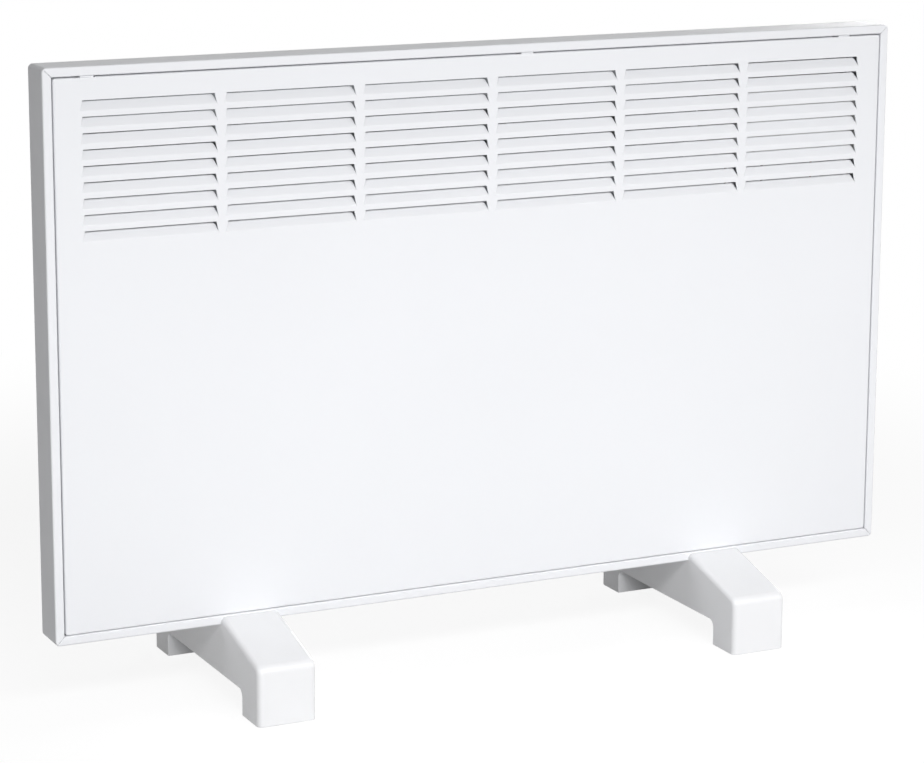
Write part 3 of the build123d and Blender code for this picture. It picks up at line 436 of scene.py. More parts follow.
def block(low: Vector, high: Vector) -> Mesh:
    """A box between two corners.

    Args:
        low: its lowest corner.
        high: its highest corner.

    Returns:
        A new mesh that holds the box.
    """
    bm = bmesh.new()
    size = high - low
    place = Matrix.Translation((low + high) / 2) @ Matrix.Diagonal((*size, 1))
    bmesh.ops.create_cube(bm, size=1.0, matrix=place)
    return bm


def on_plane(verts: Iterable[Vert], axis: int, value: float, slack: float = HAIR) -> bool:
    """Whether all of some vertices lie on a plane across an axis."""
    return all(abs(vert.co[axis] - value) < slack for vert in verts)


def only(kind: type, parts: Iterable) -> list:
    """The parts of one kind."""
    return [part for part in parts if isinstance(part, kind)]


def edges_where(bm: Mesh, test: Callable[[Edge], bool]) -> list[Edge]:
    """The edges that pass a test."""
    return [edge for edge in bm.edges if test(edge)]


def edges_on(bm: Mesh, axis: int, value: float) -> list[Edge]:
    """The edges that lie on a plane across an axis."""
    return edges_where(bm, lambda edge: on_plane(edge.verts, axis, value))


def span_of(edge: Edge, axis: int) -> float:
    """How far an edge reaches along an axis."""
    return abs(edge.verts[0].co[axis] - edge.verts[1].co[axis])


def edges_along(bm: Mesh, axis: int) -> list[Edge]:
    """The edges along an axis, in a form whose edges are all square to the axes."""
    return edges_where(bm, lambda edge: span_of(edge, axis) > HAIR)


def faces_where(bm: Mesh, test: Callable[[Face], bool]) -> list[Face]:
    """The faces that pass a test."""
    return [face for face in bm.faces if test(face)]


class Rounds(Enum):
    """What a rounding works on."""

    EDGES = "EDGES"
    CORNERS = "VERTICES"


def round_off(bm: Mesh, parts: Iterable[Edge | Vert], radius: float, flats: int,
              kind: Rounds = Rounds.EDGES) -> list[Vert]:
    """Rounds edges, or the corners of a flat sheet.

    Args:
        bm: the mesh.
        parts: the edges or corners.
        radius: how far the rounding reaches from each of them.
        flats: how many flats stand for the round.
        kind: what the parts are.

    Returns:
        The rounding's vertices.
    """
    return bmesh.ops.bevel(
        bm, geom=list(parts), offset=radius, offset_type="OFFSET", segments=flats, profile=0.5,
        affect=kind.value, material=-1, clamp_overlap=False)["verts"]


def cut(bm: Mesh, faces: Iterable[Face], point: Vector, normal: Vector) -> None:
    """Splits faces along a plane.

    Args:
        bm: the mesh.
        faces: the faces to split.
        point: a point on the plane.
        normal: the plane's normal.
    """
    faces = list(faces)
    edges = {edge for face in faces for edge in face.edges}
    verts = {vert for face in faces for vert in face.verts}
    bmesh.ops.bisect_plane(bm, geom=[*verts, *edges, *faces], dist=WELD, plane_co=point, plane_no=normal)


def prism(outline: Sequence[Pair], x0: float, x1: float) -> Mesh:
    """A prism along X.

    Args:
        outline: its outline's corners on (Y, Z), in order.
        x0: where it starts.
        x1: where it ends.

    Returns:
        A new mesh that holds the prism.
    """
    bm = bmesh.new()
    face = bm.faces.new([bm.verts.new((x0, y, z)) for y, z in outline])
    moved = bmesh.ops.extrude_face_region(bm, geom=[face], use_keep_orig=True)["geom"]
    bmesh.ops.translate(bm, verts=only(Vert, moved), vec=Vector((x1 - x0, 0, 0)))
    bmesh.ops.recalc_face_normals(bm, faces=bm.faces)
    return bm


def turned(profile: Sequence[Pair], place: Matrix, steps: int = 32) -> Mesh:
    """A turned form.

    Args:
        profile: its (radius, height) points along one side, from one end to the other.
        place: puts the form, whose own axis is Z, in the heater.
        steps: how many flats stand for the full round.

    Returns:
        A new mesh that holds the form.
    """
    bm = bmesh.new()
    verts = [bm.verts.new((radius, 0, height)) for radius, height in profile]
    edges = [bm.edges.new(pair) for pair in zip(verts, verts[1:])]
    bmesh.ops.spin(bm, geom=[*verts, *edges], cent=Vector(), axis=Way.UP.value, angle=math.tau, steps=steps,
                   use_merge=True)
    bmesh.ops.remove_doubles(bm, verts=bm.verts, dist=WELD)
    bmesh.ops.recalc_face_normals(bm, faces=bm.faces)
    bmesh.ops.transform(bm, matrix=place, verts=bm.verts)
    return bm


def quarter_round(flats: int) -> list[Pair]:
    """The sine and cosine at each even step of a quarter turn."""
    turns = (QUARTER_TURN * step / flats for step in range(flats + 1))
    return [(math.sin(turn), math.cos(turn)) for turn in turns]


def pull_in(vert: Vert, depth: float) -> None:
    """Moves a vertex straight towards the Z axis.

    Args:
        vert: the vertex.
        depth: how far it moves.
    """
    share = 1 - depth / math.hypot(vert.co.x, vert.co.y)
    vert.co.x *= share
    vert.co.y *= share


def facing(way: Way, place: Vector) -> Matrix:
    """Puts a form whose own axis is Z at a place, with that axis along a direction."""
    return Matrix.Translation(place) @ way.value.to_track_quat("Z", "Y").to_matrix().to_4x4()


def joined(parts: Iterable[Mesh]) -> Mesh:
    """Puts several meshes into the first of them, and frees the others.

    Args:
        parts: the meshes.

    Returns:
        The first mesh.
    """
    first, *others = parts
    for other in others:
        held = bpy.data.meshes.new("held")
        other.to_mesh(held)
        other.free()
        first.from_mesh(held)
        bpy.data.meshes.remove(held)
    return first


def repeated(bm: Mesh, places: Sequence[Matrix]) -> Mesh:
    """Copies a mesh to several places, and leaves nothing at its own.

    Args:
        bm: the mesh.
        places: where the copies go, as transforms.

    Returns:
        The same mesh with all its copies.
    """
    own = [*bm.verts, *bm.edges, *bm.faces]
    for place in places:
        copy = bmesh.ops.duplicate(bm, geom=own)["geom"]
        bmesh.ops.transform(bm, matrix=place, verts=only(Vert, copy))
    bmesh.ops.delete(bm, geom=only(Vert, own), context="VERTS")
    return bm


def cap_ends(bm: Mesh) -> None:
    """Closes every open end of a mesh with one flat face."""
    open_edges = [edge for edge in bm.edges if edge.is_boundary]
    bmesh.ops.holes_fill(bm, edges=open_edges, sides=0)
    bmesh.ops.recalc_face_normals(bm, faces=bm.faces)


def centre_of(parts: Iterable[Edge]) -> Vector:
    """The middle of the box round some edges."""
    places = [vert.co for edge in parts for vert in edge.verts]
    return Vector((min(place[axis] for place in places) + max(place[axis] for place in places)) / 2
                  for axis in range(3))


def across_of(way: Way) -> list[int]:
    """The two axes that a face lies along when it points one way."""
    return [axis for axis in (X, Y, Z) if abs(way.value[axis]) < 0.5]


def step_ring(bm: Mesh, ring: list[Edge], way: Way, out: float, forward: float) -> list[Edge]:
    """Extrudes a flat ring of edges, each side moving away from the middle by the same step.

    Args:
        bm: the mesh.
        ring: the ring's edges.
        way: the direction that the ring's plane faces.
        out: how far each side moves away from the ring's middle.
        forward: how far the ring moves along the direction.

    Returns:
        The new ring's edges.
    """
    middle = centre_of(ring)
    moved = bmesh.ops.extrude_edge_only(bm, edges=ring)["geom"]
    for vert in only(Vert, moved):
        for axis in across_of(way):
            vert.co[axis] += out * math.copysign(1, vert.co[axis] - middle[axis])
        vert.co += forward * way.value
    return only(Edge, moved)


@dataclass(frozen=True)
class Outline:
    """A rounded rectangle or a circle on one of the heater's flat faces."""

    JUST_UNDER: ClassVar[float] = 0.9999

    way: Way
    centre: Vector
    width: float
    height: float
    corner: float = 0.0
    steps: int = 4
    plane_slack: float = 1e-5

    @property
    def across(self) -> list[int]:
        """The two axes that the outline lies along."""
        return across_of(self.way)

    def draw(self, bm: Mesh) -> list[Edge]:
        """Draws the outline.

        Args:
            bm: the mesh.

        Returns:
            The outline's edges.
        """
        first, second = self.across
        columns = [Vector() for _ in range(3)]
        columns[0][first] = self.width / 2
        columns[1][second] = self.height / 2
        columns[2] = columns[0].cross(columns[1]).normalized()
        place = Matrix.Translation(self.centre) @ Matrix(columns).transposed().to_4x4()
        verts = bmesh.ops.create_grid(bm, x_segments=1, y_segments=1, size=1.0, matrix=place)["verts"]
        face = verts[0].link_faces[0]
        if self.corner:
            radius = self.corner * self.JUST_UNDER
            face = round_off(bm, verts, radius, self.steps, Rounds.CORNERS)[0].link_faces[0]
        edges = list(face.edges)
        bmesh.ops.delete(bm, geom=[face], context="FACES_ONLY")
        return edges

    def overlaps(self, face: Face, width: float, height: float) -> bool:
        """Whether a face reaches into a rectangle round the outline's middle.

        Args:
            face: the face.
            width: the rectangle's width.
            height: the rectangle's height.

        Returns:
            True where they overlap.
        """
        return all(min(vert.co[axis] for vert in face.verts) < self.centre[axis] + size / 2
                   and max(vert.co[axis] for vert in face.verts) > self.centre[axis] - size / 2
                   for axis, size in zip(self.across, (width, height)))

    def meets(self, face: Face) -> bool:
        """Whether a face reaches into the outline."""
        return self.overlaps(face, self.width - 2 * HAIR, self.height - 2 * HAIR)

    def holder(self, bm: Mesh) -> Face:
        """Finds the flat face that the outline's middle lies on.

        Args:
            bm: the mesh.

        Returns:
            The smallest such face.
        """
        axis = next(axis for axis in (X, Y, Z) if axis not in self.across)
        held = faces_where(bm, lambda face: on_plane(face.verts, axis, self.centre[axis], self.plane_slack)
                           and self.overlaps(face, 0.0, 0.0))
        return min(held, key=lambda face: face.calc_area())

    def planes(self) -> Iterator[tuple[Vector, Vector]]:
        """Goes through the planes that trim a flat face to the outline.

        Yields:
            A point on each plane and its normal.
        """
        first, second = self.across
        for axis, size in zip(self.across, (self.width, self.height)):
            for side in (-1, 1):
                normal = Vector()
                normal[axis] = side
                yield self.centre + normal * size / 2, normal
        turns = [QUARTER_TURN * (step + 0.5) / self.steps for step in range(self.steps if self.corner else 0)]
        for side in (-1, 1):
            for level in (-1, 1):
                pivot = self.centre.copy()
                pivot[first] += side * (self.width / 2 - self.corner)
                pivot[second] += level * (self.height / 2 - self.corner)
                for turn in turns:
                    normal = Vector()
                    normal[first] = side * math.cos(turn)
                    normal[second] = level * math.sin(turn)
                    yield pivot + normal * self.corner, normal

    def open(self, bm: Mesh) -> list[Edge]:
        """Opens a flat face along the outline.

        Args:
            bm: the mesh.

        Returns:
            The opening's edges.
        """
        for point, normal in self.planes():
            cut(bm, [self.holder(bm)], point, normal)
        cell = self.holder(bm)
        ring = list(cell.edges)
        bmesh.ops.delete(bm, geom=[cell], context="FACES_ONLY")
        return ring

    def clear(self, bm: Mesh) -> None:
        """Opens a flat that other openings have already split into several faces.

        The second axis's planes come first, so that no split runs on to the openings beside this one.

        Args:
            bm: the mesh.
        """
        for point, normal in sorted(self.planes(), key=lambda plane: -abs(plane[1][self.across[1]])):
            cut(bm, faces_where(bm, self.meets), point, normal)
        bmesh.ops.delete(bm, geom=faces_where(bm, self.meets), context="FACES")

    def press(self, bm: Mesh, profile: Sequence[Pair]) -> None:
        """Presses a panel along the outline.

        Args:
            bm: the mesh.
            profile: the wall's (inwards, depth) steps, from the outline to the panel.
        """
        ring = self.open(bm)
        for inwards, depth in profile:
            ring = step_ring(bm, ring, self.way, -inwards, -depth)
        bmesh.ops.contextual_create(bm, geom=ring)


def shade_by_angle(bm: Mesh, degrees: float = 32.0) -> None:
    """Shades smooth across shallow edges and leaves the others crisp.

    Args:
        bm: the mesh.
        degrees: the bend from which an edge is crisp.
    """
    limit = math.radians(degrees)
    for face in bm.faces:
        face.smooth = True
    for edge in bm.edges:
        edge.smooth = len(edge.link_faces) == 2 and edge.calc_face_angle(math.pi) < limit


@dataclass
class Sheet:
    """Sheet metal of one thickness, given to a skin by a modifier."""

    thickness: float = 0.0008

    def thicken(self, piece: Piece) -> None:
        """Grows the sheet's thickness inwards from its outer skin.

        Args:
            piece: the piece that holds the skin.
        """
        modifier = piece.modifiers.new("sheet", "SOLIDIFY")
        piece.modifiers.move(piece.modifiers.find(modifier.name), 0)
        modifier.thickness = self.thickness
        modifier.offset = -1.0
        modifier.use_even_offset = True
        modifier.thickness_clamp = 0.0


def stage_item(name: str, data: bpy.types.ID) -> Piece:
    """Puts a mesh, a lamp or a camera in the scene.

    Args:
        name: its name.
        data: the mesh, lamp or camera.

    Returns:
        The object that holds it.
    """
    item = bpy.data.objects.new(name, data)
    bpy.context.scene.collection.objects.link(item)
    return item


def place_piece(name: str, bm: Mesh, finish: Finish, body: Body = Body.HEATER,
                replaces: Sequence[str] = ()) -> Piece:
    """Turns a finished mesh into a piece of the heater.

    Args:
        name: the piece's name.
        bm: the mesh, which is freed.
        finish: its finish.
        body: the body that it rides on.
        replaces: the solids that it stands for.

    Returns:
        The piece.
    """
    shade_by_angle(bm)
    mesh = bpy.data.meshes.new(name)
    bm.to_mesh(mesh)
    bm.free()
    mesh.materials.append(finish.material())
    piece = stage_item(name, mesh)
    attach(piece, body.value)
    if replaces:
        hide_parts(*replaces)
    even = piece.modifiers.new("even shading", "WEIGHTED_NORMAL")
    even.keep_sharp = True
    LOG.info("%s: %d faces", name, len(mesh.polygons))
    return piece


# ---- casing frame ----

@dataclass
class CasingFrame:
    """The folded frame round the front panel: side walls, mitred rim and back flange."""

    corner_radius: float = 0.0035
    fold_radius: float = 0.0014
    lip_radius: float = 0.0011
    rim_width: float = 0.007
    rim_return: float = 0.005
    back_flange: float = 0.018
    mitre_gap: float = 0.0003
    mitre_land: float = 0.0018
    corner_flats: int = 6
    fold_flats: int = 4
    lip_flats: int = 3
    lip_turns: int = 4
    mitre_near: float = 0.006
    mitre_slack: float = 1e-5

    def __post_init__(self) -> None:
        """Reads the frame's place from its solid."""
        self.low, self.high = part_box("casing_frame")
        self.middle = (self.low + self.high) / 2

    def window(self, margin: float) -> tuple[Vector, Vector]:
        """The lowest and highest corner of a window that leaves a margin all round."""
        inset = Vector((margin, 0, margin))
        return self.low + inset, self.high - inset

    def opening(self, way: Way, y: float, margin: float) -> Outline:
        """A square-cornered opening that leaves a margin all round."""
        low, high = self.window(margin)
        return Outline(way, Vector((self.middle.x, y, self.middle.z)), high.x - low.x, high.z - low.z)

    def open_rim(self, bm: Mesh) -> None:
        """Opens the front inside the rim, whose inner edge is folded back.

        Args:
            bm: the frame's mesh.
        """
        radius = self.lip_radius
        ring = self.opening(Way.FRONT, self.low.y, self.rim_width - radius).open(bm)
        reached = Vector((0, 0))
        for step in range(1, self.lip_turns + 1):
            turn = QUARTER_TURN * step / self.lip_turns
            target = radius * Vector((math.sin(turn), 1 - math.cos(turn)))
            ring = step_ring(bm, ring, Way.BACK, reached.x - target.x, target.y - reached.y)
            reached = target
        step_ring(bm, ring, Way.BACK, 0.0, self.rim_return - radius)

    def mitre(self, bm: Mesh) -> None:
        """Opens the thin gaps where the rim's four strips meet at the corners.

        Args:
            bm: the frame's mesh.
        """
        opening_low, opening_high = self.window(self.rim_width)
        reach = (self.rim_width - self.mitre_land) * math.sqrt(2)
        deepest = self.low.y + self.rim_return + self.mitre_slack
        for x, side in ((opening_low.x, -1), (opening_high.x, 1)):
            for z, level in ((opening_low.z, -1), (opening_high.z, 1)):
                corner = Vector((x, self.low.y, z))
                along = Vector((side, 0, level)).normalized()
                across = Vector((level, 0, -side)).normalized()

                def near(face: Face) -> bool:
                    """Whether a face of the rim touches this corner."""
                    return max(vert.co.y for vert in face.verts) < deepest and any(
                        (Vector((vert.co.x, self.low.y, vert.co.z)) - corner).length < reach + self.mitre_near
                        for vert in face.verts)

                for offset in (-0.5, 0.5):
                    cut(bm, faces_where(bm, near), corner + across * offset * self.mitre_gap, across)
                cut(bm, faces_where(bm, near), corner + along * reach, along)

                def in_gap(face: Face) -> bool:
                    """Whether a face lies in the gap."""
                    centre = face.calc_center_median() - corner
                    return (near(face) and abs(centre.dot(across)) < self.mitre_gap / 2 - HAIR
                            and -self.rim_width < centre.dot(along) < reach - HAIR)

                bmesh.ops.delete(bm, geom=faces_where(bm, in_gap), context="FACES")

    def build(self) -> Piece:
        """Builds the frame.

        Returns:
            The frame's piece.
        """
        bm = block(self.low, self.high)
        round_off(bm, edges_along(bm, Y), self.corner_radius, self.corner_flats)
        round_off(bm, edges_on(bm, Y, self.low.y), self.fold_radius, self.fold_flats)
        round_off(bm, edges_on(bm, Y, self.high.y), self.lip_radius, self.lip_flats)
        self.open_rim(bm)
        self.opening(Way.BACK, self.high.y, self.back_flange).open(bm)
        self.mitre(bm)
        bmesh.ops.recalc_face_normals(bm, faces=bm.faces)
        piece = place_piece("casing_frame_skin", bm, WHITE_PAINT, replaces=["casing_frame"])
        Sheet().thicken(piece)
        return piece


# ---- front panel ----

@dataclass
class FrontPanel:
    """The pressed front sheet with its field of louvres, each cut on three sides and bent inwards."""

    columns: int = 6
    rows: int = 9
    column_pitch: float = 0.1085
    row_pitch: float = 0.01163
    louvre_width: float = 0.103
    louvre_height: float = 0.008
    end_slope: float = 0.0018
    top_margin: float = 0.024
    bend_angle: float = math.radians(37.5)
    bend_radius: float = 0.0016
    flap_corner: float = 0.0019
    side_cut: float = 0.0002
    edge_radius: float = 0.0012
    corner_radius: float = 0.0018
    sheet: float = 0.0008
    tab_centres: tuple[float, ...] = (-0.317, 0.029, 0.309)
    tab_width: float = 0.01
    relief_left: float = 0.004
    relief_right: float = 0.002
    settling: float = 0.0004
    corner_flats: int = 3
    edge_flats: int = 4
    flap_flats: int = 4
    bend_steps: int = 4

    def __post_init__(self) -> None:
        """Reads the panel's place from its solid, and the casing's top from the frame's."""
        self.low, self.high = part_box("front_panel")
        self.low.z -= self.settling
        self.casing_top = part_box("casing_frame")[1].z

    def bend_lines(self) -> list[float]:
        """Heights of the louvres' bend lines, from the top row down."""
        first = self.casing_top - self.top_margin - self.louvre_height
        return [first - row * self.row_pitch for row in range(self.rows)]

    def centres(self) -> list[float]:
        """Middles of the louvre columns."""
        return [(column - (self.columns - 1) / 2) * self.column_pitch for column in range(self.columns)]

    def flat_sheet(self) -> Mesh:
        """The flat sheet, split along every edge that the louvres need.

        Returns:
            A mesh that faces the front.
        """
        bm = bmesh.new()
        centre = Vector(((self.low.x + self.high.x) / 2, self.low.y, (self.low.z + self.high.z) / 2))
        size = self.high - self.low
        place = Matrix.Translation(centre) @ Matrix.Rotation(QUARTER_TURN, 4, "X") @ Matrix.Diagonal(
            (size.x / 2, size.z / 2, 1, 1))
        bmesh.ops.create_grid(bm, x_segments=1, y_segments=1, size=1.0, matrix=place)
        half = self.louvre_width / 2
        lines = self.bend_lines()
        for z in lines:
            for height in (z, z + self.louvre_height):
                cut(bm, bm.faces, Vector((0, 0, height)), Way.UP.value)
        for x in self.centres():
            for offset in (-half, -half + self.side_cut, half - self.side_cut, half):
                louvred = faces_where(bm, lambda face: face.calc_center_median().z > lines[-1])
                cut(bm, louvred, Vector((x + offset, 0, 0)), Way.RIGHT.value)
        return bm

    def fold_edges(self, bm: Mesh) -> None:
        """Folds the sheet's four edges back.

        Args:
            bm: the sheet.
        """
        border = [edge for edge in bm.edges if edge.is_boundary]
        moved = bmesh.ops.extrude_edge_only(bm, edges=border)["geom"]
        verts = only(Vert, moved)
        bmesh.ops.translate(bm, verts=verts, vec=Vector((0, self.high.y - self.low.y, 0)))
        corners = [edge for edge in edges_along(bm, Y)
                   if any(on_plane(edge.verts, X, x) for x in (self.low.x, self.high.x))
                   and any(on_plane(edge.verts, Z, z) for z in (self.low.z, self.high.z))]
        round_off(bm, corners, self.corner_radius, self.corner_flats)
        front = [edge for edge in edges_on(bm, Y, self.low.y)
                 if any(not on_plane(face.verts, Y, self.low.y) for face in edge.link_faces)]
        round_off(bm, front, self.edge_radius, self.edge_flats)

    def relieve_tabs(self, bm: Mesh) -> None:
        """Cuts the notches beside each hanging tab out of the upper folded edge.

        Args:
            bm: the sheet.
        """
        def on_top(face: Face) -> bool:
            """Whether a face lies in the upper folded edge."""
            return on_plane(face.verts, Z, self.high.z)

        for centre in self.tab_centres:
            left = centre - self.tab_width / 2
            right = centre + self.tab_width / 2
            for start, end in ((left - self.relief_left, left), (right, right + self.relief_right)):
                for x in (start, end):
                    cut(bm, faces_where(bm, on_top), Vector((x, 0, 0)), Way.RIGHT.value)
                notch = [face for face in faces_where(bm, on_top)
                         if start < face.calc_center_median().x < end]
                bmesh.ops.delete(bm, geom=notch, context="FACES")

    def press_louvre(self, bm: Mesh, x: float, z: float) -> None:
        """Opens one louvre and bends its flap inwards.

        Args:
            bm: the mesh.
            x: the louvre's middle.
            z: its bend line.
        """
        half = self.louvre_width / 2
        top = z + self.louvre_height
        y = self.low.y
        inside = faces_where(bm, lambda face: (
            on_plane(face.verts, Y, y) and z < face.calc_center_median().z < top
            and abs(face.calc_center_median().x - x) < half))
        bmesh.ops.delete(bm, geom=inside, context="FACES")
        flap = half - self.side_cut
        for vert in bm.verts:
            reach = abs(vert.co.x - x)
            at_end = min(abs(reach - half), abs(reach - flap)) < HAIR
            if at_end and on_plane([vert], Y, y) and on_plane([vert], Z, top):
                vert.co.x -= math.copysign(self.end_slope, vert.co.x - x)
        root = edges_where(bm, lambda edge: (
            on_plane(edge.verts, Z, z) and on_plane(edge.verts, Y, y)
            and all(abs(abs(vert.co.x - x) - flap) < HAIR for vert in edge.verts)))
        bent = bmesh.ops.spin(
            bm, geom=[*root, *root[0].verts], cent=Vector((x, y + self.bend_radius, z)), axis=Way.LEFT.value,
            angle=self.bend_angle, steps=self.bend_steps, use_merge=False)["geom_last"]
        flat = self.louvre_height - (self.bend_radius - self.sheet / 2) * self.bend_angle
        along = Vector((0, math.sin(self.bend_angle), math.cos(self.bend_angle)))
        moved = bmesh.ops.extrude_edge_only(bm, edges=only(Edge, bent))["geom"]
        verts = only(Vert, moved)
        bmesh.ops.translate(bm, verts=verts, vec=along * flat)
        slope = Vector((self.end_slope, 0, 0))
        for vert in verts:
            vert.co -= slope * math.copysign(1, vert.co.x - x)
        round_off(bm, verts, self.flap_corner, self.flap_flats, Rounds.CORNERS)

    def build(self) -> Piece:
        """Builds the panel.

        Returns:
            The panel's piece.
        """
        bm = self.flat_sheet()
        self.fold_edges(bm)
        self.relieve_tabs(bm)
        for x in self.centres():
            for z in self.bend_lines():
                self.press_louvre(bm, x, z)
        bmesh.ops.recalc_face_normals(bm, faces=bm.faces)
        piece = place_piece("front_panel_sheet", bm, WHITE_PAINT, replaces=["front_panel"])
        Sheet(self.sheet).thicken(piece)
        return piece


# ---- feet ----

@dataclass
class Foot:
    """A moulded foot: two legs, a sloping bridge with a stepped seat, and a hollow underside."""

    node: str
    wall: float = 0.003
    front_leg: float = 0.031
    rear_leg: float = 0.029
    arch_height: float = 0.02
    bend_height: float = 0.0446
    lip_height: float = 0.0058
    lip_thickness: float = 0.0022
    step_gap: float = 0.0011
    bend_radius: float = 0.007
    arch_radius: float = 0.006
    edge_radius: float = 0.004
    sole_radius: float = 0.0008
    boss_radius: float = 0.0065
    counterbore: float = 0.0048
    screw_hole: float = 0.0027
    seat_thickness: float = 0.006
    bend_flats: int = 8
    arch_flats: int = 7
    edge_flats: int = 7
    sole_flats: int = 3
    hollow_corner: float = 0.001
    hollow_flats: int = 2
    boss_drop: float = 0.0005
    least_seat: float = 0.001
    screw_overlap: float = 0.0003
    skin_slack: float = 1e-4

    def __post_init__(self) -> None:
        """Reads the foot's place from its solid, and its seats from the casing's solids."""
        self.low, self.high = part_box(self.node)
        frame_low, frame_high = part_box("casing_frame")
        self.front_y = frame_low.y
        self.step_y = frame_high.y + self.step_gap
        self.rear_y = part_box("rear_cover")[1].y
        self.front_seat = frame_low.z
        self.rear_seat = self.high.z - self.lip_height

    def outline(self) -> list[Pair]:
        """Corners of the foot seen from the side, from the front sole round over the top.

        Returns:
            The corners as (Y, Z).
        """
        front, rear = self.low.y, self.high.y
        front_top = self.front_seat + self.lip_height
        return [
            (front, 0), (front, self.bend_height), (self.front_y - self.lip_thickness, front_top),
            (self.front_y, front_top), (self.front_y, self.front_seat), (self.step_y, self.front_seat),
            (self.step_y, self.rear_seat), (self.rear_y, self.rear_seat), (self.rear_y, self.high.z),
            (self.rear_y + self.lip_thickness, self.high.z), (rear, self.bend_height), (rear, 0),
            (rear - self.rear_leg, 0), (rear - self.rear_leg, self.arch_height),
            (front + self.front_leg, self.arch_height), (front + self.front_leg, 0)]

    def crosswise(self, bm: Mesh, y: float, z: float) -> list[Edge]:
        """The edges along X at one corner of the outline."""
        return edges_where(bm, lambda edge: on_plane(edge.verts, Y, y) and on_plane(edge.verts, Z, z))

    def soften(self, bm: Mesh) -> None:
        """Rounds the bends, the arch's corners and the long outer edges.

        Args:
            bm: the foot's mesh.
        """
        for y, lip_y, top in (
                (self.low.y, self.front_y - self.lip_thickness, self.front_seat + self.lip_height),
                (self.high.y, self.rear_y + self.lip_thickness, self.high.z)):
            rise = math.atan2(top - self.bend_height, abs(lip_y - y))
            reach = self.bend_radius * math.tan((QUARTER_TURN - rise) / 2)
            round_off(bm, self.crosswise(bm, y, self.bend_height), reach, self.bend_flats)
        for y in (self.low.y + self.front_leg, self.high.y - self.rear_leg):
            round_off(bm, self.crosswise(bm, y, self.arch_height), self.arch_radius, self.arch_flats)

        def on_skin(edge: Edge) -> bool:
            """Whether an edge runs along a side of a leg's face, a bend, a slope or a lip.

            Args:
                edge: the edge.

            Returns:
                True where it does.
            """
            middle = (edge.verts[0].co + edge.verts[1].co) / 2
            on_side = any(on_plane(edge.verts, X, x) for x in (self.low.x, self.high.x))
            on_leg = abs(middle.y) > self.high.y - self.skin_slack
            above_arch = middle.z > self.arch_height + self.skin_slack
            return on_side and abs(middle.y) > self.rear_y + HAIR and (on_leg or above_arch)

        round_off(bm, edges_where(bm, on_skin), self.edge_radius, self.edge_flats)
        round_off(bm, edges_on(bm, Z, 0), self.sole_radius, self.sole_flats)

    def roof(self, y: float) -> float:
        """Height of the hollow's ceiling, one wall below the outside.

        Args:
            y: the place from front to back.

        Returns:
            The height there.
        """
        front_lip = self.front_y - self.lip_thickness
        rear_lip = self.rear_y + self.lip_thickness
        if y < front_lip:
            rise = (self.front_seat + self.lip_height - self.bend_height) / (front_lip - self.low.y)
            outside = self.bend_height + rise * (y - self.low.y)
            return min(outside - self.wall * math.hypot(1, rise), self.front_seat - self.wall)
        if y > rear_lip:
            rise = (self.high.z - self.bend_height) / (self.high.y - rear_lip)
            outside = self.bend_height + rise * (self.high.y - y)
            return min(outside - self.wall * math.hypot(1, rise), self.rear_seat - self.wall)
        return self.front_seat - self.wall

    def pockets(self) -> list[tuple[float, float, float]]:
        """Each hollow's limits from front to back, and the height where it opens.

        Returns:
            The hollows as (front, back, height).
        """
        wall = self.wall
        edge = self.arch_radius + wall / 2
        front_inner = self.low.y + self.front_leg
        rear_inner = self.high.y - self.rear_leg
        arch = self.arch_height
        return [
            (self.low.y + wall, front_inner - wall, 0.0), (rear_inner + wall, self.high.y - wall, 0.0),
            (front_inner + edge, self.front_y - wall, arch), (self.front_y, self.rear_y, arch),
            (self.rear_y + wall, rear_inner - edge, arch)]

    def hollow(self, bm: Mesh) -> None:
        """Sinks the hollows into the soles and the arch's ceiling.

        Args:
            bm: the foot's mesh.
        """
        x = (self.low.x + self.high.x) / 2
        for start, end, level in self.pockets():
            mouth = Outline(Way.DOWN, Vector((x, (start + end) / 2, level)),
                            self.high.x - self.low.x - 2 * self.wall, end - start,
                            self.hollow_corner, self.hollow_flats)
            ring = step_ring(bm, mouth.open(bm), Way.UP, 0.0, self.wall)
            for vert in {vert for edge in ring for vert in edge.verts}:
                vert.co.z = self.roof(vert.co.y)
            bmesh.ops.contextual_create(bm, geom=ring)

    def bosses(self) -> Mesh:
        """The two screw bosses inside the seat's hollow.

        Returns:
            A new mesh that holds both.
        """
        x = (self.low.x + self.high.x) / 2
        low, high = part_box("foot_screws")
        head = self.counterbore
        front = low.y + head - self.screw_overlap
        rear = high.y - head + self.screw_overlap
        rings = []
        for y, seat in ((front, self.front_seat), (rear, self.rear_seat)):
            top = min(seat, self.front_seat) - self.boss_drop
            step = min(seat - self.seat_thickness, top - self.least_seat)
            profile = [
                (self.boss_radius, self.arch_height), (self.boss_radius, top), (self.screw_hole, top),
                (self.screw_hole, step), (head, step), (head, self.arch_height),
                (self.boss_radius, self.arch_height)]
            rings.append(turned(profile, Matrix.Translation((x, y, 0))))
        return joined(rings)

    def build(self) -> Piece:
        """Builds the foot.

        Returns:
            The foot's piece.
        """
        bm = prism(self.outline(), self.low.x, self.high.x)
        self.soften(bm)
        self.hollow(bm)
        bmesh.ops.recalc_face_normals(bm, faces=bm.faces)
        foot = place_piece(self.node + "_moulding", bm, WHITE_PLASTIC, replaces=[self.node])
        place_piece(self.node + "_bosses", self.bosses(), WHITE_PLASTIC)
        return foot


# ---- rear cover ----

